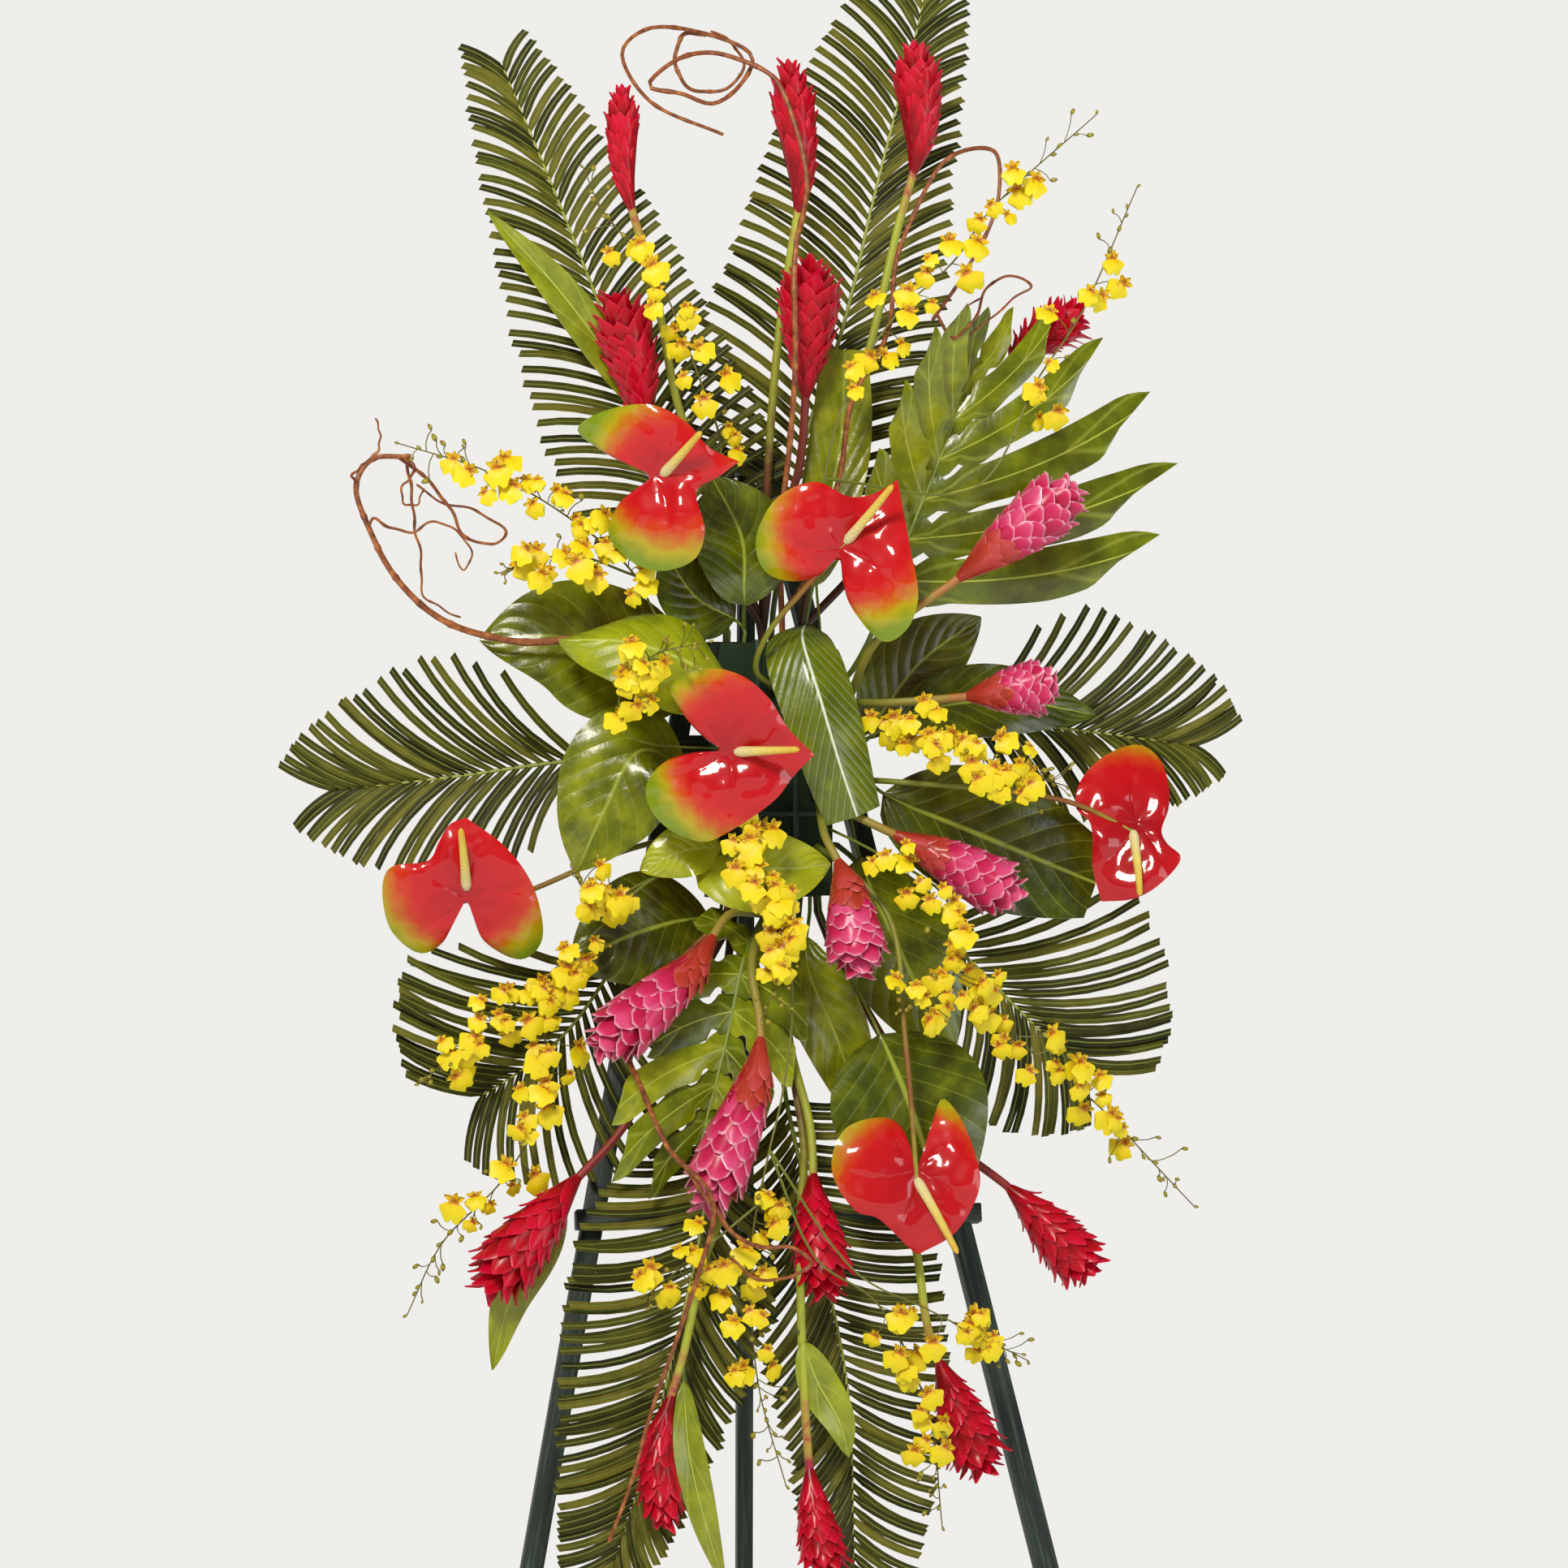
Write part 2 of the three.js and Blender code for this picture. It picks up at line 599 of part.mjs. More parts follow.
// A second stem that leaves the first one where that comes out of its hole.
function branchFrom(main, path) {
  return curveThrough([main.getPointAt(collarOf(main)), ...seenAll(path)]);
}

// Plain leaves: the blade starts at `bare` of the stem; face is where the upper side looks.
// A second leaf in an entry branches from the first one's stem and is one body with it.
const LEAVES = [
  { name: 'leaf_left_large', root: ['left', 1230, 134], blades: [
    { bare: 0.25, half: 66, fold: 0.12, full: 0.8, face: [0, -1, 0.25],
      rib: [[-100, 1268, 156], [-180, 1302, 160], [-262, 1300, 148]] }] },
  { name: 'leaf_bright_wavy', root: ['front', -38, 1228], colour: 'brightLeaf', blades: [
    { bare: 0.18, half: 50, fold: -0.15, full: 1.1, face: [0.1, -1, 0.5],
      rib: [[-40, 1268, 234], [-110, 1296, 232], [-184, 1300, 210]] }] },
  { name: 'leaf_left_lower', root: ['left', 1160, 160], blades: [
    { bare: 0.3, half: 56, fold: 0.15, full: 0.9, face: [-0.3, -1, 0],
      rib: [[-104, 1190, 192], [-140, 1130, 196], [-166, 1072, 190]] }] },
  { name: 'leaf_left_lowest', root: ['bottom', -46, 136], blades: [
    { bare: 0.34, half: 56, fold: 0.1, full: 0.9, face: [-0.2, -1, 0],
      rib: [[-78, 1020, 172], [-120, 1006, 184], [-172, 980, 188]] }] },
  { name: 'leaf_rolled_strip', root: ['top', 32, 166], blades: [
    { bare: 0.22, half: 37, fold: -0.3, full: 0.45, blunt: 0.9, face: [0, -1, 0.2],
      rib: [[56, 1300, 210], [74, 1240, 236], [92, 1180, 240], [110, 1126, 236]] }] },
  { name: 'leaf_upright_strip', root: ['top', 33, 146], blades: [
    { bare: 0.3, half: 30, fold: 0.2, full: 0.7, blunt: 0.6, face: [-0.2, -1, 0],
      rib: [[76, 1400, 160], [94, 1500, 157], [98, 1586, 155]] }] },
  { name: 'leaf_dark_upper_pair', root: ['top', -30, 170], blades: [
    { bare: 0.4, half: 37, fold: 0.15, full: 0.8, face: [0.2, -1, 0.3],
      rib: [[-50, 1342, 184], [-82, 1390, 184]] },
    { bare: 0.2, half: 46, fold: 0.2, full: 0.8, face: [0, -1, 0.1],
      rib: [[-2, 1346, 190], [-4, 1400, 194], [-34, 1462, 190]] }] },
  { name: 'leaf_right_group', root: ['right', 1180, 150], blades: [
    { bare: 0.34, half: 64, fold: 0.1, full: 0.75, blunt: 0.4, face: [0.1, -1, 0.1],
      rib: [[140, 1146, 176], [220, 1112, 186], [345, 1060, 186]] },
    { bare: 0.26, half: 36, fold: 0.15, full: 0.8, face: [0, -1, 0.2],
      rib: [[150, 1222, 160], [250, 1240, 158], [345, 1226, 146]] },
    { bare: 0.34, half: 58, fold: 0.1, full: 0.8, face: [0.2, -1, 0],
      rib: [[114, 1080, 156], [158, 980, 174], [202, 884, 188]] },
    { bare: 0.2, half: 44, fold: 0.1, full: 0.8, face: [0.1, -1, 0.1],
      rib: [[132, 1226, 142], [170, 1276, 136], [232, 1322, 130]] }] },
  { name: 'leaf_lower_centre', root: ['bottom', 34, 168], blades: [
    { bare: 0.3, half: 35, fold: 0.2, full: 0.8, face: [0.2, -1, -0.1],
      rib: [[60, 980, 196], [92, 900, 208], [118, 812, 218]] }] },
  { name: 'leaf_behind_lowest', root: ['bottom', 46, 152], colour: 'brightLeaf', blades: [
    { bare: 0.56, half: 76, fold: 0.08, full: 0.7, face: [0.1, -1, -0.1],
      rib: [[130, 916, 232], [162, 840, 256], [182, 776, 262], [192, 722, 264]] }] },
  { name: 'leaf_bright_centre_pair', root: ['front', -38, 1098], colour: 'brightLeaf', blades: [
    { bare: 0.3, half: 42, fold: 0.15, full: 0.7, face: [0, -1, 0.2],
      rib: [[-16, 1080, 210], [30, 1074, 220], [84, 1078, 212]] },
    { bare: 0.2, half: 26, fold: 0.15, full: 0.8, face: [0, -1, 0.2],
      rib: [[-60, 1092, 204], [-104, 1072, 200]] }] },
];

for (const { name, root, colour = 'leaf', blades } of LEAVES) {
  let main;
  const parts = blades.map((blade) => {
    const curve = main ? branchFrom(main, blade.rib) : stemCurve(root, blade.rib, LEAF_HOLE);
    main = main || curve;
    return leaf(curve, { ...blade, face: v(...blade.face) }, LEAF_STEM_STEPS);
  });
  keep(name, fuse(parts), COLOURS[colour]);
}

// Anthuriums: a heart-shaped spathe round the root of its spadix

// outline: the spathe's rim as seen from the front, right and up from its centre, anticlockwise
// from the tip; lean: how far it comes forward for each millimetre to the right and up;
// fold: how far its two lobes come forward for each millimetre away from the midline
const ANTHURIUMS = [
  { name: 'anthurium_upper_left', root: ['top', -44, 158], centre: [-90, 1462, 244],
    lean: [0.36, 0.1], fold: 0.3, stem: [[-60, 1350, 166], [-80, 1420, 196]], spadix: [36, 36, 44],
    outline: [[84, 14], [54, 28], [34, 51], [-2, 70], [-52, 63], [-76, 46], [-46, 21], [-5, -2],
      [-34, -26], [-45, -58], [-22, -85], [7, -94], [40, -82], [50, -55], [42, -14], [62, -2]] },
  { name: 'anthurium_upper_right', root: ['front', -6, 1250], centre: [94, 1390, 266],
    lean: [0.25, 0.02], fold: 0.3, stem: [[10, 1270, 206], [22, 1306, 226], [58, 1350, 250]],
    spadix: [42, 50, 40],
    outline: [[56, 68], [32, 54], [9, 51], [-25, 66], [-63, 50], [-84, 8], [-75, -22], [-51, -32],
      [-22, -27], [-2, -10], [2, -33], [10, -57], [43, -92], [64, -81], [76, -51], [67, 8]] },
  { name: 'anthurium_centre', root: ['front', -6, 1172], centre: [-18, 1190, 270],
    lean: [0.2, 0.16], fold: 0.3, stem: [[-12, 1176, 236]], spadix: [58, 2, 40],
    outline: [[86, -3], [61, 22], [40, 54], [14, 75], [-19, 82], [-56, 65], [-43, 36], [-22, 13],
      [-7, 2], [-34, -1], [-63, -11], [-80, -34], [-75, -58], [-54, -79], [-22, -89], [2, -79],
      [49, -46], [64, -26]] },
  { name: 'anthurium_right', root: ['right', 1162, 166], centre: [386, 1119, 214],
    lean: [0.12, -0.3], fold: 0.25, stem: [[150, 1160, 212], [320, 1140, 212]], spadix: [4, -60, 30],
    outline: [[-35, -77], [-3, -74], [22, -60], [43, -33], [30, -20], [24, -8], [31, 15], [31, 38],
      [22, 64], [5, 77], [-15, 75], [-41, 60], [-58, 37], [-60, 15], [-47, 2], [-44, -14],
      [-44, -43]] },
  { name: 'anthurium_left', root: ['left', 1112, 152], centre: [-275, 1046, 206],
    lean: [0.08, 0.26], fold: 0.2,
    stem: [[-120, 1092, 156], [-222, 1050, 164], [-262, 1044, 184]], spadix: [-3, 56, 36],
    outline: [[-1, 79], [-17, 72], [-28, 54], [-37, 37], [-75, 30], [-83, 15], [-75, -32],
      [-46, -55], [-25, -46], [-1, -5], [17, -43], [55, -61], [74, -43], [66, 10], [38, 50]] },
  { name: 'anthurium_lowest', root: ['front', 38, 1098], centre: [169, 777, 304],
    lean: [0.1, -0.2], fold: 0.25, stem: [[140, 1030, 246], [158, 900, 286]], spadix: [36, -64, 40],
    outline: [[1, -83], [38, -61], [61, -20], [61, 3], [41, 55], [25, 71], [15, 46], [1, 5],
      [-14, 42], [-31, 52], [-71, 41], [-84, 1], [-60, -40], [-39, -47], [-8, -76]] },
];
const SPATHE_THICK = 1.8;
const SPATHE_CURL = 0.002;
const SPATHE_RINGS = [0.5, 1];
const SPADIX_OFF = 9;

// A spathe's point that is seen `right` and `up` of its centre.
function spathePoint({ centre, lean, fold, outline: [tip] }, right, up) {
  const aside = Math.abs(right * tip[1] - up * tip[0]) / Math.hypot(...tip);
  const front = lean[0] * right + lean[1] * up + fold * aside - SPATHE_CURL * (right ** 2 + up ** 2);
  return seen(centre[0] + right, centre[1] + up, centre[2] + front);
}

function spathe(flower) {
  const rings = SPATHE_RINGS.flatMap((share) => flower.outline.map(([right, up]) => (
    spathePoint(flower, share * right, share * up))));
  const points = [seen(...flower.centre), ...rings];
  const n = flower.outline.length;
  const count = points.length;
  const all = [...points, ...points.map((p) => p.clone().addScaledVector(TOWARDS_VIEWER, -SPATHE_THICK))];
  const triangles = [];
  for (let j = 0; j < n; j++) {
    const k = (j + 1) % n;
    const [a, b, c, d] = [1 + j, 1 + k, 1 + n + k, 1 + n + j];
    for (const [p, q, r] of [[0, a, b], [a, d, c], [a, c, b]]) {
      triangles.push([p, q, r], [count + p, count + r, count + q]);
    }
    triangles.push([d, count + c, c], [d, count + d, count + c]);
  }
  return skin(all, triangles);
}

// Direction in the viewer's right, up and front, as a vector of the model.
function seenDirection([right, up, front]) {
  const c = Math.cos(VIEW_TURN);
  const s = Math.sin(VIEW_TURN);
  return v(right * c - front * s, -right * s - front * c, up);
}

for (const flower of ANTHURIUMS) {
  const { name, root, stem, spadix, outline: [tip] } = flower;
  const start = rooted(...root);
  holes.push({ start, radius: 3 });
  const off = SPADIX_OFF / Math.hypot(...tip);
  const seat = spathePoint(flower, off * tip[0], off * tip[1]);
  const behind = seat.clone().addScaledVector(TOWARDS_VIEWER, -1);
  const curve = curveThrough([...start, ...seenAll(stem), behind]);
  curve.rooted = true;
  const spike = seenDirection(spadix);
  const finger = curveThrough([behind, seat.clone().addScaledVector(spike, 0.5)
    .addScaledVector(TOWARDS_VIEWER, 3), seat.clone().add(spike)]);
  keep(name, fuse([
    spathe(flower),
    tube(curve, evenStops(curve, 1, 4), () => 2.8, 4),
    tube(finger, evenStops(finger, 1, 2), (s) => 5 - 2.2 * s, 5),
  ]), COLOURS.spathe, 0.25);
}

// Ginger heads: a cone of overlapping bracts on a thick stem

const HEAD_NECK = 4.6;
const CANE_RADIUS = 4;
const WIDE_HEAD = 25;
const HEAD_BRACTS = 4;

// Tiers of pointed bracts in one skin: a ring close to the core, then a ring whose every other
// point is a bract's tip, and so on, each tier's tips over the last one's valleys.
function gingerHead(curve, from, radius, tiers, bracts, open) {
  const step = (1 - from) / (tiers + 0.45);
  const at = (t, turn, reach) => {
    const axis = curve.getTangentAt(Math.min(1, t));
    const first = square(v(0.2, -1, 0.1), axis);
    const second = axis.clone().cross(first);
    return curve.getPointAt(Math.min(1, t)).addScaledVector(first, reach * Math.cos(turn))
      .addScaledVector(second, reach * Math.sin(turn));
  };
  const around = (place) => Array.from({ length: 2 * bracts }, (_, j) => place(j, (Math.PI * j) / bracts));
  const rings = [around((j, turn) => at(from - 0.5 * step, turn, HEAD_NECK))];
  for (let i = 0; i < tiers; i++) {
    const belly = Math.sin(Math.PI * (0.14 + (0.56 * i) / tiers)) ** 0.8;
    const wide = radius * belly;
    const start = from + i * step;
    rings.push(around((j, turn) => at(start, turn, 0.45 * wide)));
    rings.push(around((j, turn) => ((i + j) % 2
      ? at(start + 0.6 * step, turn, 0.6 * wide)
      : at(start + (1.4 - 0.5 * open) * step, turn, wide * (1 + open)))));
  }
  rings.push([at(1, 0, 0)]);
  return loft(rings);
}

function gingerStem(curve, to, steps) {
  return tube(curve, evenStops(curve, to, steps), () => CANE_RADIUS, 4);
}

// Each entry is one body: the second stem branches from the first one near the foam.
// head: share of the stem's length under the head; open: how far the bracts stand off.
const GINGERS = [
  { name: 'red_ginger_top_left_pair', root: ['top', -6, 130], colour: 'redGinger', stems: [
    { head: 0.8, radius: 15, open: 0,
      path: [[-66, 1530, 138], [-82, 1610, 140], [-94, 1666, 140], [-117, 1746, 140], [-122, 1850, 136]] },
    { head: 0.74, radius: 20, open: 0,
      path: [[24, 1498, 134], [34, 1610, 134], [46, 1690, 134], [54, 1746, 134], [42, 1872, 128]] }] },
  { name: 'red_ginger_top_right_pair', root: ['top', 32, 127], colour: 'redGinger', stems: [
    { head: 0.8, radius: 22, open: 0,
      path: [[96, 1500, 140], [122, 1586, 142], [150, 1706, 140], [170, 1786, 136], [166, 1892, 128]] },
    { head: 0.78, radius: 20, open: 0.35,
      path: [[120, 1380, 128], [200, 1480, 128], [254, 1546, 126], [270, 1578, 126], [334, 1628, 126]] }] },
  { name: 'red_ginger_upper_pair', root: ['top', -8, 148], colour: 'redGinger', stems: [
    { head: 0.66, radius: 26, open: 0.08,
      path: [[-60, 1420, 162], [-96, 1500, 166], [-104, 1540, 168], [-130, 1646, 166]] },
    { head: 0.64, radius: 28, open: 0.08,
      path: [[30, 1400, 164], [52, 1466, 172], [60, 1554, 180], [64, 1676, 178]] }],
    leaves: [{ from: [-80, 1490, 164], rib: [[-114, 1548, 152], [-180, 1640, 148], [-254, 1722, 138]],
      half: 19 }] },
  { name: 'red_ginger_bottom_left_pair', root: ['bottom', -36, 150], colour: 'redGinger', stems: [
    { head: 0.72, radius: 28, open: 0.12,
      path: [[-60, 940, 200], [-120, 820, 222], [-172, 762, 236], [-262, 650, 240]] },
    { head: 0.8, radius: 19, open: 0,
      path: [[-20, 940, 202], [-10, 820, 232], [-14, 760, 253], [-40, 690, 284], [-60, 600, 298],
        [-84, 504, 312],
        [-78, 416, 322]] }],
    leaves: [{ from: [-172, 762, 236], rib: [[-196, 712, 224], [-232, 650, 214], [-250, 580, 214]],
      half: 20 },
      { from: [-62, 590, 299], rib: [[-56, 500, 316], [-40, 430, 324], [-20, 365, 326]], half: 15 }] },
  { name: 'red_ginger_bottom_pair', root: ['bottom', 6, 138], colour: 'redGinger', stems: [
    { head: 0.74, radius: 25, open: 0.08,
      path: [[44, 900, 208], [64, 820, 250], [68, 748, 274], [80, 648, 286]] },
    { head: 0.84, radius: 20, open: 0.08,
      path: [[46, 880, 212], [58, 800, 240], [54, 730, 276], [56, 600, 304], [66, 458, 324],
        [84, 364, 334]] }],
    leaves: [{ from: [52, 620, 302], rib: [[70, 570, 306], [92, 530, 310], [102, 494, 312]], half: 19 }] },
  { name: 'red_ginger_right_pair', root: ['bottom', 48, 130], colour: 'redGinger', stems: [
    { head: 0.76, radius: 24, open: 0.15,
      path: [[140, 900, 190], [210, 800, 214], [262, 758, 220], [346, 668, 222]] },
    { head: 0.8, radius: 25, open: 0.12,
      path: [[120, 900, 196], [148, 800, 236], [160, 740, 250], [170, 690, 266], [180, 620, 282],
        [196, 576, 286],
        [238, 472, 284]] }] },
  { name: 'pink_ginger_right_pair', root: ['right', 1236, 160], colour: 'pinkGinger', stems: [
    { head: 0.62, radius: 28, open: 0,
      path: [[130, 1300, 230], [214, 1364, 250], [330, 1454, 250]] },
    { head: 0.62, radius: 25, open: 0,
      path: [[140, 1238, 212], [216, 1244, 230], [306, 1256, 232]] }] },
  { name: 'pink_ginger_centre_pair', root: ['front', 38, 1146], colour: 'pinkGinger', stems: [
    { head: 0.5, radius: 26, open: 0,
      path: [[110, 1126, 222], [168, 1098, 236], [272, 1044, 240]] },
    { head: 0.45, radius: 27, open: 0,
      path: [[78, 1108, 236], [94, 1074, 256], [114, 968, 270]] }] },
  { name: 'pink_ginger_lower_left_pair', root: ['bottom', -8, 168], colour: 'pinkGinger', stems: [
    { head: 0.5, radius: 27, open: 0,
      path: [[-18, 1028, 234], [-48, 984, 256], [-150, 890, 276]] },
    { head: 0.5, radius: 27, open: 0,
      path: [[6, 980, 244], [14, 900, 276], [-42, 732, 308]] }] },
];

for (const { name, root, colour, stems, leaves = [] } of GINGERS) {
  const parts = [];
  let main;
  for (const { head, radius, open, path } of stems) {
    const curve = main ? branchFrom(main, path) : stemCurve(root, path, CANE_RADIUS + 0.2);
    main = main || curve;
    parts.push(gingerStem(curve, head, path.length));
    parts.push(gingerHead(curve, head, radius, radius > WIDE_HEAD ? 4 : 3, HEAD_BRACTS, open));
  }
  for (const { from, rib, half } of leaves) {
    const blade = { bare: 0.1, half, face: TOWARDS_VIEWER, fold: 0.2, full: 0.8 };
    parts.push(leaf(curveThrough(seenAll([from, ...rib])), blade, 1));
  }
  keep(name, fuse(parts), COLOURS[colour]);
}

// Orchid sprays: thin branching stems with small florets, buds at the tips

// A floret's outline in its own plane, as shares of its size: sepal, petals and a broad lip
const FLORET_OUTLINE = [[0, 0.45], [0.42, 0.12], [0.15, -0.05], [0.42, -0.42],
  [-0.42, -0.42], [-0.15, -0.05], [-0.42, 0.12]];
const STALK_RADIUS = 1;
const SPRAY_HOLE = 1.8;

// One floret with its stalk: the stalk's three corners widen into the outline, whose front
// is a low point.
const FLORET_DEPTH = 2;

function floret(start, centre, facing, up, size) {
  const lift = square(up, facing);
  const side = lift.clone().cross(facing);
  const stalk = (place) => [90, 210, 330].map((degrees) => {
    const turn = THREE.MathUtils.degToRad(degrees);
    return place.clone().addScaledVector(side, STALK_RADIUS * Math.cos(turn))
      .addScaledVector(lift, STALK_RADIUS * Math.sin(turn));
  });
  const n = FLORET_OUTLINE.length;
  const outline = FLORET_OUTLINE.map(([x, y]) => (
    centre.clone().addScaledVector(side, -x * size).addScaledVector(lift, y * size)));
  const front = centre.clone().addScaledVector(facing, FLORET_DEPTH);
  const behind = centre.clone().addScaledVector(facing, -FLORET_DEPTH);
  const points = [...outline, front, ...stalk(behind), ...stalk(start)];
  const triangles = [[n + 4, n + 6, n + 5]];
  const corner = (j) => n + 1 + Math.floor((3 * (j % n) + 1) / n);
  for (let j = 0; j < n; j++) {
    const k = (j + 1) % n;
    triangles.push([n, j, k], [j, corner(j), k]);
    if (corner(j) !== corner(k)) triangles.push([corner(j), corner(k), k]);
  }
  for (let j = 0; j < 3; j++) {
    const [a, b] = [n + 1 + j, n + 1 + ((j + 1) % 3)];
    triangles.push([a, a + 3, b], [b, a + 3, b + 3]);
  }
  return skin(points, triangles);
}

function seeded(seed) {
  let state = seed;
  return () => {
    state = (state * 16807) % 2147483647;
    return state / 2147483647;
  };
}

// Branches after the first start on it, at the share `at` of its length.
const SPRAYS = [
  { name: 'orchid_spray_top_left', root: ['top', -44, 138], seed: 11, branches: [
    { florets: 5, from: 0.42, path: [[-50, 1400, 180], [-24, 1482, 184], [-44, 1554, 200], [-92, 1666, 200],
      [-140, 1722, 188], [-160, 1766, 180]] }] },
  { name: 'orchid_spray_top_right', root: ['top', 44, 166], seed: 23, branches: [
    { florets: 5, from: 0.42, path: [[70, 1380, 214], [92, 1520, 226], [140, 1610, 232], [206, 1674, 222],
      [240, 1722, 208], [346, 1818, 170]] },
    { at: 0.3, florets: 3, from: 0.4, path: [[226, 1450, 232], [290, 1560, 222], [330, 1620, 206],
      [386, 1746, 184]] }] },
  { name: 'orchid_spray_left', root: ['left', 1276, 152], seed: 31, branches: [
    { florets: 4, from: 0.35, path: [[-80, 1310, 196], [-114, 1370, 204], [-182, 1426, 200],
      [-254, 1466, 188],
      [-342, 1494, 174]] },
    { at: 0.4, florets: 2, from: 0.2, path: [[-174, 1384, 208], [-244, 1366, 204]] }] },
  { name: 'orchid_spray_centre_upper', root: ['front', -38, 1192], seed: 47, branches: [
    { florets: 3, from: 0.66, path: [[-112, 1204, 232], [-124, 1244, 262], [-92, 1284, 280],
      [-36, 1298, 286]] }] },
  { name: 'orchid_spray_centre', root: ['front', -6, 1118], seed: 53, branches: [
    { florets: 5, from: 0.3, path: [[-4, 1116, 240], [14, 1080, 260], [24, 1038, 268], [34, 978, 276],
      [16, 925, 280]] }] },
  { name: 'orchid_spray_right', root: ['right', 1202, 166], seed: 61, branches: [
    { florets: 6, from: 0.36, path: [[126, 1204, 190], [158, 1218, 236], [190, 1202, 262], [250, 1176, 268],
      [316, 1156, 258]] }] },
  { name: 'orchid_spray_lower_left', root: ['left', 1084, 166], seed: 79, branches: [
    { florets: 5, from: 0.3, path: [[-92, 1064, 202], [-140, 1020, 212], [-196, 950, 214], [-196, 850, 214],
      [-236, 772, 210], [-300, 704, 204], [-334, 634, 200]] },
    { at: 0.34, florets: 3, from: 0.25, path: [[-240, 930, 212], [-322, 862, 200]] },
    { at: 0.16, florets: 2, from: 0.4, path: [[-150, 1044, 222], [-172, 1076, 228]] }] },
  { name: 'orchid_spray_lower_right', root: ['front', 42, 1118], seed: 83, branches: [
    { florets: 6, from: 0.2, path: [[130, 1090, 262], [194, 1050, 282], [226, 970, 262], [280, 896, 236],
      [338, 850, 226], [442, 742, 214]] },
    { at: 0.4, florets: 2, from: 0.3, path: [[200, 960, 276], [150, 934, 284]] }] },
  { name: 'orchid_spray_bottom', root: ['bottom', 8, 166], seed: 97, branches: [
    { florets: 4, from: 0.56, path: [[42, 1010, 246], [46, 930, 262], [36, 850, 288], [22, 790, 300],
      [6, 700, 302],
      [12, 570, 320], [40, 466, 340]] },
    { at: 0.6, florets: 2, from: 0.4, path: [[-40, 700, 314], [-102, 650, 316]] },
    { at: 0.52, florets: 3, from: 0.45, path: [[70, 690, 318], [130, 646, 318], [180, 540, 318],
      [194, 426, 322]] },
    { at: 0.52, florets: 2, from: 0.7, path: [[110, 676, 334], [180, 640, 332], [278, 590, 312]] }] },
];
const FLORET_SIZE = 34;

for (const { name, root, seed, branches } of SPRAYS) {
  const random = seeded(seed);
  const parts = [];
  let main;
  for (const { at, florets, from, path } of branches) {
    const curve = main
      ? curveThrough([main.getPointAt(at), ...seenAll(path)])
      : stemCurve(root, path, SPRAY_HOLE);
    const places = Array.from({ length: florets }, (_, i) => from + (0.94 - from) * ((i + 0.5) / florets));
    const shared = main ? [] : branches.slice(1).map((branch) => branch.at);
    const bare = evenStops(curve, from, 3);
    const stops = [...bare, ...places, ...shared, 1].sort((a, b) => a - b)
      .filter((t, i, all) => i === 0 || t - all[i - 1] > 1e-3);
    main = main || curve;
    parts.push(tube(curve, stops, (s) => 1.6 - 0.6 * s, 3));
    for (const [i, t] of places.entries()) {
      const axis = curve.getTangentAt(t);
      const turn = 1.2 * (random() - 0.5) + (i % 2 ? 0.6 : -0.6);
      const front = square(TOWARDS_VIEWER, axis);
      const side = axis.clone().cross(front);
      const out = front.clone().multiplyScalar(Math.cos(turn)).addScaledVector(side, Math.sin(turn));
      const start = curve.getPointAt(t);
      const centre = start.clone().addScaledVector(out, 9 + 9 * random()).addScaledVector(axis, 4);
      const facing = TOWARDS_VIEWER.clone().addScaledVector(out, 0.4 + 0.5 * random()).normalize();
      const size = FLORET_SIZE * (0.9 + 0.25 * random());
      parts.push(floret(start, centre, facing, v(0.3 * (random() - 0.5), 0, 1), size));
    }
  }
  keep(name, fuse(parts), COLOURS.orchid);
}

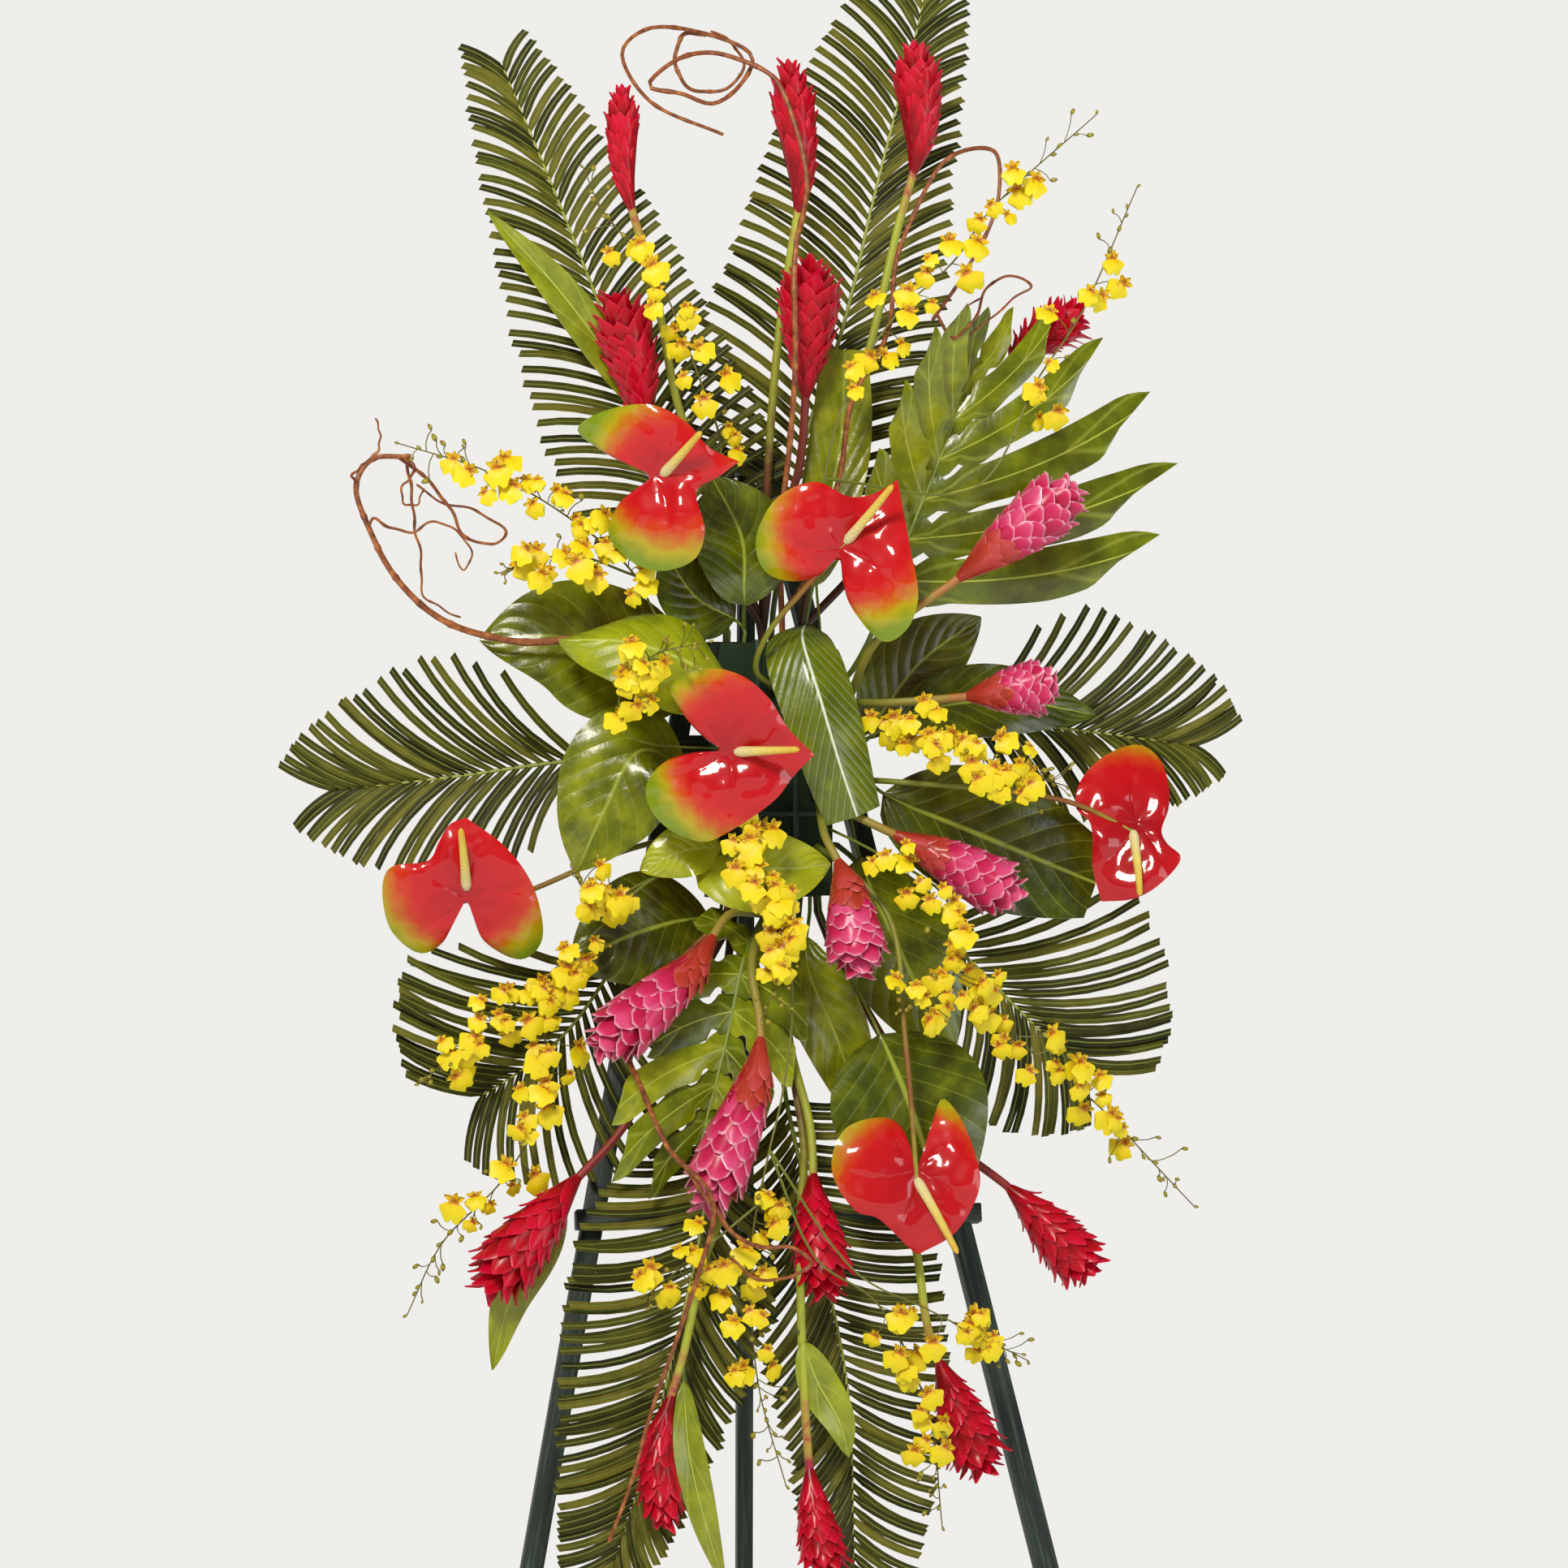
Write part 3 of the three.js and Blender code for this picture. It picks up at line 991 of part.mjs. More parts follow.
// Curly vines: each a knobbly stem through points set by hand; side shoots share its body.
const THICK_VINE = 3.5;
const VINES = [
  { name: 'vine_top_pair', root: ['top', 8, 164], shoots: [
    { radius: 3, steps: 44, path: [[34, 1400, 190], [44, 1490, 206], [48, 1560, 216],
      [50, 1680, 216], [60, 1746, 190], [48, 1810, 170], [29, 1855, 160], [-12, 1875, 150],
      [-38, 1879, 148], [-66, 1872, 150], [-95, 1846, 156], [-63, 1838, 162], [-33, 1828, 160],
      [-6, 1846, 148], [6, 1876, 138], [-38, 1897, 132], [-96, 1903, 136], [-122, 1880, 146],
      [-96, 1834, 158], [-22, 1798, 172]] },
    { on: 0, at: 0.8, radius: 2.2, steps: 14, path: [[-62, 1896, 124], [-69, 1872, 118],
      [-60, 1848, 116], [-34, 1840, 118], [-8, 1852, 122], [-2, 1868, 124], [-14, 1889, 122],
      [-34, 1901, 118]] },
    { on: 0, at: 0.05, radius: 3, steps: 21, path: [[60, 1360, 192], [90, 1450, 198],
      [104, 1530, 202], [138, 1600, 206], [154, 1690, 200], [200, 1774, 196], [246, 1782, 190],
      [250, 1740, 188], [216, 1660, 192], [184, 1616, 202]] },
    { on: 2, at: 0.99, radius: 1.6, steps: 14, path: [[206, 1597, 204], [226, 1618, 204],
      [238, 1646, 202], [258, 1659, 200], [282, 1648, 198], [262, 1635, 194], [236, 1612, 194],
      [214, 1600, 194], [214, 1624, 196], [232, 1636, 208]] }] },
  { name: 'vine_left', root: ['left', 1256, 150], shoots: [
    { radius: 4.2, steps: 18, path: [[-104, 1284, 190], [-150, 1300, 192], [-240, 1300, 178],
      [-320, 1334, 176], [-366, 1398, 172], [-384, 1450, 168], [-368, 1478, 166],
      [-330, 1482, 166]] },
    { on: 0, at: 0.975, radius: 1.8, steps: 14, path: [[-318, 1462, 160], [-292, 1431, 158],
      [-280, 1406, 162], [-248, 1394, 170], [-237, 1407, 176], [-268, 1428, 176],
      [-305, 1438, 172], [-324, 1454, 176]] },
    { on: 0, at: 0.99, radius: 1.6, steps: 10, path: [[-330, 1450, 148], [-326, 1410, 148],
      [-320, 1382, 150], [-318, 1345, 154], [-301, 1332, 158], [-281, 1322, 160]] },
    { on: 0, at: 0.88, radius: 1.5, steps: 7, path: [[-388, 1462, 178], [-376, 1474, 186],
      [-363, 1487, 188], [-361, 1505, 186], [-365, 1519, 184]] },
    { on: 0, at: 0.8, radius: 1.5, steps: 13, path: [[-366, 1420, 182], [-351, 1411, 186],
      [-330, 1407, 188], [-305, 1417, 186], [-285, 1407, 186], [-270, 1386, 184],
      [-278, 1369, 180], [-287, 1386, 178]] },
    { on: 0, at: 0.985, radius: 1.5, steps: 10, path: [[-326, 1468, 178], [-338, 1452, 182],
      [-338, 1436, 178], [-324, 1434, 170], [-318, 1450, 168]] }] },
  { name: 'vine_bottom', root: ['bottom', -46, 162], shoots: [
    { radius: 3, steps: 26, path: [[-84, 960, 196], [-114, 900, 240], [-104, 860, 290],
      [-76, 800, 322], [-34, 750, 350], [-44, 680, 350], [-76, 590, 344], [-110, 480, 340],
      [-134, 410, 334]] },
    { on: 0, at: 0.5, radius: 2.4, steps: 11, path: [[0, 706, 350], [46, 700, 352],
      [66, 686, 350], [20, 668, 352], [-16, 690, 354]] }] },
];

for (const { name, root, shoots } of VINES) {
  const parts = [];
  const curves = [];
  for (const { on, at, radius, steps, path } of shoots) {
    const curve = curves.length
      ? curveThrough([curves[on].getPointAt(at), ...seenAll(path)])
      : stemCurve(root, path, radius + 0.2);
    curves.push(curve);
    const sides = radius < THICK_VINE ? 3 : 4;
    parts.push(tube(curve, evenStops(curve, 1, steps), (s) => radius * (1 - 0.3 * s), sides));
  }
  keep(name, fuse(parts), COLOURS.vine);
}

// Foam: the block less a hole for every stem
const HOLE_SIDES = 4;

function foam() {
  const block = box(-FOAM_HALF, FOAM_HALF, FOAM_BACK, FOAM_FRONT, FOAM_LOW, FOAM_HIGH);
  const drills = holes.map(({ start, radius }) => {
    const along = start[1].clone().sub(start[0]).normalize();
    const first = square(v(0.3, -1, 0.2), along);
    const second = along.clone().cross(first);
    const inner = start[0].clone().addScaledVector(along, -GAP);
    const corner = (radius + GAP) / Math.cos(Math.PI / HOLE_SIDES);
    return loft([inner, start[2]].map((place) => ring(place, first, second, corner, HOLE_SIDES)));
  });
  return block.subtract(fuse(drills));
}
keep('foam_block', foam(), COLOURS.foam, 0.95);

export default group;
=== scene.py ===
"""Standing funeral spray: tropical flowers and cut foliage in a foam cage on a folding wooden easel.

Metres, +Z up, the flowers face -Y. The layout lists are in millimetres, as in the CAD source.
"""
import bisect
import math
import random

import bpy
from mathutils import Matrix, Vector


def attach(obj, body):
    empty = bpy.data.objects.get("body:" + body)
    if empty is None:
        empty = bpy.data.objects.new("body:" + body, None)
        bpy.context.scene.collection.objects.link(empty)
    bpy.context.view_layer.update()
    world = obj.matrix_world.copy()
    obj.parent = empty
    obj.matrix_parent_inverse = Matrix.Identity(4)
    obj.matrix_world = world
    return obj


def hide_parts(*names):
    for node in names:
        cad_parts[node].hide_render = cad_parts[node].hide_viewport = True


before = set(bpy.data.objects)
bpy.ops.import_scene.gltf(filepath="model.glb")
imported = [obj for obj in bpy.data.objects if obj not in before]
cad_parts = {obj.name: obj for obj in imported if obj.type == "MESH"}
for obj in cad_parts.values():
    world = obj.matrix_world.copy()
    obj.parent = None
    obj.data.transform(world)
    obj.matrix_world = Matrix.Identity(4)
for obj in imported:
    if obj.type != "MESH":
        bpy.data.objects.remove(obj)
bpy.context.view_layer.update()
MM = 0.001


# The room
# A pale floor that fades without an edge into an off-white wall, a large soft lamp high on the
# left with a weaker one low on the right, and the camera where the photograph was taken from.

# The layout's zero point in the frame, then the view's turn, distance, middle and width; all but
# the turn in millimetres
ORIGIN = Vector((-7, 71.6, 0))
VIEW_TURN = math.radians(10)
VIEW_DISTANCE = 4500
VIEW_RIGHT = 38
VIEW_UP = 1158
PICTURE_WIDTH = 1546
SENSOR = 36
# The room in metres, its colours and its light
FLOOR_SIZE = 60
WALL = "efeeea"
FLOOR = "e9e7e2"
ROOM_LIGHT = 0.36
MIRRORED_ROOM = 0.12
FLOOR_FADES_FROM = 0.3
FLOOR_FADES_TO = 1.7


def linear(code):
    """An sRGB hex colour as linear red, green and blue, and an alpha of 1."""
    channels = [int(code[i:i + 2], 16) / 255 for i in (0, 2, 4)]
    return [c / 12.92 if c <= 0.04045 else ((c + 0.055) / 1.055) ** 2.4 for c in channels] + [1.0]


def wire(tree, made, **links):
    """Fills a node's inputs, given by name or as i and a number, with values, outputs or whole
    nodes, of which the first output in use is taken."""
    for name, value in links.items():
        socket = made.inputs[int(name[1:])] if name[1:].isdigit() else made.inputs[name.replace("_", " ")]
        if isinstance(value, bpy.types.Node):
            value = next(output for output in value.outputs if output.enabled)
        if isinstance(value, bpy.types.NodeSocket):
            tree.links.new(value, socket)
        else:
            socket.default_value = value


def node(tree, kind, settings=None, **links):
    """One shader node: settings are its properties, and the stops of a colour ramp as places
    and sRGB hex colours; links are its inputs."""
    made = tree.nodes.new("ShaderNode" + kind)
    for name, value in (settings or {}).items():
        if name != "stops":
            setattr(made, name, value)
            continue
        elements = made.color_ramp.elements
        while len(elements) < len(value):
            elements.new(0.5)
        for element, (place, code) in zip(elements, value):
            element.position = place
            element.color = linear(code)
    wire(tree, made, **links)
    return made


def new_material(name):
    """An empty material with its principled shader."""
    material = bpy.data.materials.new(name)
    material.use_nodes = True
    return material, material.node_tree, material.node_tree.nodes["Principled BSDF"]


def deselect():
    """Leaves nothing selected, in object mode."""
    bpy.ops.object.select_all(action="DESELECT")


def add_lamp(name, place, aim, size, watts, colour):
    """One square softbox."""
    light = bpy.data.lights.new(name, "AREA")
    light.shape = "SQUARE"
    light.size = size
    light.energy = watts
    light.color = linear(colour)[:3]
    lamp = bpy.data.objects.new(name, light)
    lamp.location = place
    lamp.rotation_euler = (Vector(aim) - Vector(place)).to_track_quat("-Z", "Y").to_euler()
    bpy.context.scene.collection.objects.link(lamp)


deselect()
bpy.ops.mesh.primitive_plane_add(size=FLOOR_SIZE, location=(0, 0, 0))
floor = bpy.context.object
floor.name = "studio_floor"
material, tree, shader = new_material("matt painted floor")
wire(tree, shader, Base_Color=linear(FLOOR), Roughness=0.9)
spot = node(tree, "TexCoord").outputs["Object"]
far = node(tree, "VectorMath", {"operation": "LENGTH"}, i0=spot)
fade = node(tree, "MapRange", {"interpolation_type": "SMOOTHSTEP"}, Value=far,
            From_Min=FLOOR_FADES_FROM, From_Max=FLOOR_FADES_TO)
wall_light = node(tree, "Emission", Color=linear(WALL))
both = node(tree, "MixShader", i0=fade, i1=shader, i2=wall_light)
wire(tree, tree.nodes["Material Output"], Surface=both)
floor.data.materials.append(material)

world = bpy.data.worlds.new("studio")
world.use_nodes = True
tree = world.node_tree
path = node(tree, "LightPath")
lit = node(tree, "MapRange", Value=path.outputs["Is Glossy Ray"], To_Min=ROOM_LIGHT, To_Max=MIRRORED_ROOM)
strength = node(tree, "MapRange", Value=path.outputs["Is Camera Ray"], To_Min=lit, To_Max=1.0)
wire(tree, tree.nodes["Background"], Color=linear(WALL), Strength=strength)
bpy.context.scene.world = world
bpy.context.scene.view_settings.view_transform = "Standard"

FLOWERS = Vector((0, 0, 1.2))
add_lamp("key softbox", (-1.5, -3.4, 3.6), FLOWERS, 0.9, 132, "fffaf2")
add_lamp("fill softbox", (2.8, -3.2, 1.4), FLOWERS, 1.6, 28, "f4f8ff")

view_right = Vector((math.cos(VIEW_TURN), -math.sin(VIEW_TURN), 0))
view_front = Vector((-math.sin(VIEW_TURN), -math.cos(VIEW_TURN), 0))
view_centre = ORIGIN + view_right * VIEW_RIGHT + Vector((0, 0, VIEW_UP))
camera_data = bpy.data.cameras.new("camera")
camera_data.sensor_width = SENSOR
camera_data.lens = SENSOR * VIEW_DISTANCE / PICTURE_WIDTH
camera_data.clip_end = 100
camera = bpy.data.objects.new("camera", camera_data)
camera.location = (view_centre + view_front * VIEW_DISTANCE) * MM
camera.rotation_euler = (math.radians(90), 0, -VIEW_TURN)
bpy.context.scene.collection.objects.link(camera)
bpy.context.scene.camera = camera


# The easel
# Square softwood sticks, sanded at the corners and stained a very dark green that lets the
# lighter grain show along them. The bolt is zinc-plated steel, the foot caps moulded rubber.
STICK_EDGE = 1.2
GRAIN_WIDTH = 4
GRAIN_STRETCH = 0.035


def stained_wood(along):
    """Green-black stain over softwood: lighter streaks run along the stick."""
    material, tree, shader = new_material("stained softwood")
    spot = node(tree, "TexCoord").outputs["Object"]
    turn = Vector((0, 0, 1)).rotation_difference(along).inverted().to_euler()
    straight = node(tree, "Mapping", {"vector_type": "POINT"}, Vector=spot, Rotation=turn)
    stretched = node(tree, "Mapping", {"vector_type": "POINT"}, Vector=straight, Scale=(1, 1, GRAIN_STRETCH))
    streak = node(tree, "TexNoise", Vector=stretched, Scale=1 / (GRAIN_WIDTH * MM), Detail=6.0,
                  Roughness=0.7)
    stops = [(0.36, "0d1712"), (0.5, "1b2a20"), (0.6, "32463a"), (0.74, "5d7163")]
    colour = node(tree, "ValToRGB", {"stops": stops}, i0=streak)
    raised = node(tree, "Bump", Height=streak, Distance=0.0004)
    wire(tree, shader, Base_Color=colour, Normal=raised, Roughness=0.55)
    return material


def plain(name, colour, roughness, metallic, grit, depth):
    """An even finish; grit is the width of its fine grain in millimetres, depth its height in metres."""
    material, tree, shader = new_material(name)
    spot = node(tree, "TexCoord").outputs["Object"]
    grain = node(tree, "TexNoise", Vector=spot, Scale=1 / (grit * MM), Detail=3.0, Roughness=0.6)
    raised = node(tree, "Bump", Height=grain, Distance=depth)
    wire(tree, shader, Base_Color=linear(colour), Roughness=roughness, Metallic=metallic, Normal=raised)
    return material


def dressed_copy(name, edge, material, body):
    """A copy of a CAD node with its loose triangles merged and its edges rounded."""
    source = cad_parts[name]
    piece = source.copy()
    piece.data = source.data.copy()
    piece.parent = None
    piece.name = "fine_" + name
    for key in list(piece.keys()):
        del piece[key]
    bpy.context.scene.collection.objects.link(piece)
    deselect()
    piece.select_set(True)
    bpy.context.view_layer.objects.active = piece
    bpy.ops.object.mode_set(mode="EDIT")
    bpy.ops.mesh.select_all(action="SELECT")
    bpy.ops.mesh.remove_doubles(threshold=1e-5)
    bpy.ops.mesh.tris_convert_to_quads()
    bpy.ops.mesh.dissolve_limited(angle_limit=math.radians(0.5))
    bpy.ops.object.mode_set(mode="OBJECT")
    if edge:
        bevel = piece.modifiers.new("worn edge", "BEVEL")
        bevel.width = edge * MM
        bevel.segments = 2
        bevel.limit_method = "ANGLE"
        bpy.ops.object.modifier_apply(modifier=bevel.name)
    bpy.ops.object.shade_smooth_by_angle(angle=math.radians(32))
    piece.data.materials.clear()
    piece.data.materials.append(material)
    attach(piece, body)
    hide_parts(name)


APEX = ORIGIN + Vector((0, 0, 1480))
LEFT_FOOT = ORIGIN + Vector((-334, -350, 0))
RIGHT_FOOT = ORIGIN + Vector((334, -350, 0))
REAR_FOOT = ORIGIN + Vector((33, 210, 0))
ACROSS = Vector((1, 0, 0))
STICKS = [
    ("front_leg_left", APEX - LEFT_FOOT, "stand"),
    ("front_leg_right", APEX - RIGHT_FOOT, "stand"),
    ("rear_leg", APEX - REAR_FOOT, "rear_leg"),
    ("head_rail", ACROSS, "stand"),
    ("upper_crossbar", ACROSS, "stand"),
    ("lower_crossbar", ACROSS, "stand"),
]
for name, along, body in STICKS:
    dressed_copy(name, STICK_EDGE, stained_wood(along), body)
zinc = plain("zinc-plated steel", "a8acae", roughness=0.32, metallic=1.0, grit=1.5, depth=0.00005)
rubber = plain("moulded black rubber", "17181a", roughness=0.75, metallic=0.0, grit=1.2, depth=0.0001)
dressed_copy("hinge_bolt", 0.4, zinc, "stand")
for name, body in [("foot_cap_left", "stand"), ("foot_cap_right", "stand"), ("foot_cap_rear", "rear_leg")]:
    dressed_copy(name, 1.5, rubber, body)


# The flower holder
# A moulded green polypropylene cage hooked over the upper crossbar, and the block of wet
# floral foam in it that every stem is pushed into. Both are coloured their own green, darkened
# further as painted shade for the shadowed middle of the spray.
# Painted shade: the cage and foam colours are darker than their real green, standing in for the shadow at
# the middle of the spray.
cage_plastic_painted_shade = plain("moulded polypropylene darkened as painted shade", "16301c", roughness=0.45, metallic=0.0, grit=2.0,
                     depth=0.00008)
wet_foam_painted_shade = plain("wet phenolic foam darkened as painted shade", "1a2e16", roughness=0.95, metallic=0.0, grit=0.8, depth=0.0006)
dressed_copy("foam_cage", 0.5, cage_plastic_painted_shade, "stand")
dressed_copy("foam_block", 0, wet_foam_painted_shade, "stand")


# The palm fronds
# Eight sago palm fronds: a stiff yellow-green rib with two rows of narrow, folded leaflets,
# trimmed square by the florist. Each rib is pushed into the foam at the back.
FOAM_HALF = 54
FOAM_FRONT = 178
FOAM_LOW = 1052
FOAM_HIGH = 1292
ROOT_DEPTH = 30
COLLAR = 14
ARC_STEPS = 300
STEM_STEPS = 40
NUDGE = 0.0001
SMOOTH_UNDER = 40


def seen(right, up, front):
    """A point of the layout, put back from the viewer's picture plane to its real place."""
    towards = (front - right * math.sin(VIEW_TURN)) / math.cos(VIEW_TURN)
    shrink = 1 - towards / VIEW_DISTANCE
    r = VIEW_RIGHT + (right - VIEW_RIGHT) * shrink
    z = VIEW_UP + (up - VIEW_UP) * shrink
    return Vector((r / math.cos(VIEW_TURN) - front * math.tan(VIEW_TURN), -front, z))


def seen_direction(right, up, front):
    """A direction in the viewer's right, up and front."""
    return view_right * right + view_front * front + Vector((0, 0, up))


def rooted(face, a, b):
    """Where a stem stands in the foam: deep inside, at its hole's mouth, just outside it."""
    depths = (-ROOT_DEPTH, 0, COLLAR)
    if face == "top":
        return [Vector((a, -b, FOAM_HIGH + h)) for h in depths]
    if face == "bottom":
        return [Vector((a, -b, FOAM_LOW - h)) for h in depths]
    if face == "left":
        return [Vector((-FOAM_HALF - h, -b, a)) for h in depths]
    if face == "right":
        return [Vector((FOAM_HALF + h, -b, a)) for h in depths]
    return [Vector((a, -FOAM_FRONT - h, b)) for h in depths]


class Curve:
    """A centripetal Catmull-Rom curve through points, measured along its length."""

    def __init__(self, points):
        first = points[0] * 2 - points[1]
        last = points[-1] * 2 - points[-2]
        self.points = [first, *points, last]
        self.spans = len(points) - 1
        self.lengths = [0.0]
        before = self.raw(0)
        for i in range(1, ARC_STEPS + 1):
            after = self.raw(i / ARC_STEPS)
            self.lengths.append(self.lengths[-1] + (after - before).length)
            before = after
        self.length = self.lengths[-1]

    def raw(self, t):
        """The point at t of the evenly numbered spans."""
        span = min(int(t * self.spans), self.spans - 1)
        w = t * self.spans - span
        p0, p1, p2, p3 = self.points[span:span + 4]
        d0, d1, d2 = [max((b - a).length, 1e-4) ** 0.5 for a, b in ((p0, p1), (p1, p2), (p2, p3))]
        m1 = ((p1 - p0) / d0 - (p2 - p0) / (d0 + d1) + (p2 - p1) / d1) * d1
        m2 = ((p2 - p1) / d1 - (p3 - p1) / (d1 + d2) + (p3 - p2) / d2) * d1
        c2 = (p2 - p1) * 3 - m1 * 2 - m2
        c3 = (p1 - p2) * 2 + m1 + m2
        return p1 + m1 * w + c2 * w * w + c3 * w * w * w

    def number(self, share):
        """The span number at a share of the length."""
        target = min(max(share, 0), 1) * self.length
        i = min(max(bisect.bisect_right(self.lengths, target) - 1, 0), ARC_STEPS - 1)
        step = self.lengths[i + 1] - self.lengths[i]
        return (i + (target - self.lengths[i]) / step) / ARC_STEPS

    def point(self, share):
        """The place at a share of the length."""
        return self.raw(self.number(share))

    def tangent(self, share):
        """The way the curve runs at a share of the length."""
        t = self.number(share)
        return (self.raw(min(t + NUDGE, 1)) - self.raw(max(t - NUDGE, 0))).normalized()


def stem_curve(root, places):
    """The middle line of a stem from its root in the foam through its places in the layout."""
    return Curve([*rooted(*root), *(seen(*p) for p in places)])


def collar_of(curve):
    """Share of a rooted stem's length at which it leaves its collar."""
    return (ROOT_DEPTH + COLLAR) / curve.length


def square(wanted, along):
    """The direction wanted, made square to the unit vector along."""
    return (wanted - along * wanted.dot(along)).normalized()


class Spine:
    """Places and directions along a curve, in even steps between two of its shares."""

    def __init__(self, curve, start, end, steps, face, bare=None):
        self.steps = steps
        stops = [start + (end - start) * i / steps for i in range(steps + 1)]
        self.places = [curve.point(t) for t in stops]
        self.tangents = [curve.tangent(t) for t in stops]
        self.normals = [None] * (steps + 1)
        normal = face
        for i in range(steps, -1, -1):
            kept = face if bare is not None and stops[i] >= bare else normal
            normal = square(kept, self.tangents[i])
            self.normals[i] = normal

    def at(self, along):
        """Place, tangent, upper side and right side at a share of the spine."""
        x = min(max(along, 0), 1) * self.steps
        i = min(int(x), self.steps - 1)
        w = x - i
        place = self.places[i].lerp(self.places[i + 1], w)
        tangent = self.tangents[i].lerp(self.tangents[i + 1], w).normalized()
        normal = square(self.normals[i].lerp(self.normals[i + 1], w), tangent)
        return place, tangent, normal, tangent.cross(normal)


class Template:
    """A shape modelled once and read as points and faces, to be copied into pieces."""

    def __init__(self, thing):
        self.points = [[round(c, 5) for c in v.co] for v in thing.data.vertices]
        self.faces = [tuple(p.vertices) for p in thing.data.polygons]
        bpy.data.objects.remove(thing)


def model_blade(columns, rows):
    """A flat blade: x across from -1 to 1, y the two faces at -0.5 and 0.5, z along, 0 to 1."""
    deselect()
    bpy.ops.mesh.primitive_grid_add(x_subdivisions=columns, y_subdivisions=rows, size=2)
    thing = bpy.context.object
    bpy.ops.object.mode_set(mode="EDIT")
    bpy.ops.mesh.select_all(action="SELECT")
    bpy.ops.transform.translate(value=(0, 1, 0))
    bpy.ops.transform.resize(value=(1, 0.5, 1), center_override=(0, 0, 0))
    bpy.ops.transform.rotate(value=math.radians(-90), orient_axis="X", center_override=(0, 0, 0))
    bpy.ops.object.mode_set(mode="OBJECT")
    wall = thing.modifiers.new("both faces", "SOLIDIFY")
    wall.thickness = 1
    wall.offset = 0
    bpy.ops.object.modifier_apply(modifier=wall.name)
    return Template(thing)


def model_rod(sides, steps):
    """A round rod of radius 1: x and y across, z along from 0 to 1."""
    deselect()
    bpy.ops.mesh.primitive_circle_add(vertices=sides, radius=1, fill_type="NGON")
    thing = bpy.context.object
    bpy.ops.object.mode_set(mode="EDIT")
    bpy.ops.mesh.select_all(action="SELECT")
    for _ in range(steps):
        bpy.ops.mesh.extrude_region_move(TRANSFORM_OT_translate={"value": (0, 0, 1 / steps)})
    bpy.ops.object.mode_set(mode="OBJECT")
    return Template(thing)


class Piece:
    """One finished piece as it grows, in layout millimetres."""

    def __init__(self, cad_node, slot, finishes):
        self.cad_node = cad_node
        self.slot = slot
        self.finishes = finishes
        self.points = []
        self.maps = []
        self.varieties = []
        self.faces = []
        self.kinds = []

    def lay(self, template, place, finish, variety=0.0, chart=None):
        """Copies a template in, each of its points put where place(x, y, z) says."""
        base = len(self.points)
        for x, y, z in template.points:
            self.points.append(place(x, y, z))
            self.maps.append(chart(x, z) if chart else (x, z))
            self.varieties.append(variety)
        for face in template.faces:
            self.faces.append([base + i for i in face])
            self.kinds.append(self.finishes.index(finish))

    def rod(self, template, spine, radius, finish, variety=0.0):
        """A stem laid along a spine; radius is a function of the share of its length."""
        def place(x, y, z):
            spot, _, normal, side = spine.at(z)
            return spot + (side * x + normal * y) * radius(z)
        self.lay(template, place, finish, variety)

    def finish(self):
        """Makes the mesh object with its map, finishes, body and node."""
        data = bpy.data.meshes.new("fine_" + self.cad_node)
        data.from_pydata([(p + ORIGIN) * MM for p in self.points], [], self.faces)
        data.validate()
        for finish in self.finishes:
            data.materials.append(finish)
        data.polygons.foreach_set("material_index", self.kinds)
        layer = data.uv_layers.new(name="surface map")
        corners = [0] * len(data.loops)
        data.loops.foreach_get("vertex_index", corners)
        layer.data.foreach_set("uv", [value for i in corners for value in self.maps[i]])
        shade = data.attributes.new("variety", "FLOAT", "POINT")
        shade.data.foreach_set("value", self.varieties)
        made = bpy.data.objects.new("fine_" + self.cad_node, data)
        bpy.context.scene.collection.objects.link(made)
        deselect()
        made.select_set(True)
        bpy.context.view_layer.objects.active = made
        bpy.ops.object.mode_set(mode="EDIT")
        bpy.ops.mesh.select_all(action="SELECT")
        bpy.ops.mesh.normals_make_consistent(inside=False)
        bpy.ops.object.mode_set(mode="OBJECT")
        bpy.ops.object.shade_smooth_by_angle(angle=math.radians(SMOOTH_UNDER))
        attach(made, "stand")
        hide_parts(self.cad_node)


def surface(tree):
    """What a finish reads of its piece: the place on it, how far across the blade (-1 to 1) and
    along it (0 to 1) that is, and a value from 0 to 1 that differs from copy to copy."""
    spot = node(tree, "TexCoord").outputs["Object"]
    chart = node(tree, "UVMap", {"uv_map": "surface map"})
    split = node(tree, "SeparateXYZ", Vector=chart)
    variety = node(tree, "Attribute", {"attribute_name": "variety"}).outputs["Fac"]
    return spot, split.outputs["X"], split.outputs["Y"], variety


PLUS = {"operation": "ADD"}
TIMES = {"operation": "MULTIPLY"}
TIMES_PLUS = {"operation": "MULTIPLY_ADD"}
SIZE_OF = {"operation": "ABSOLUTE"}
COLOURS = {"data_type": "RGBA"}


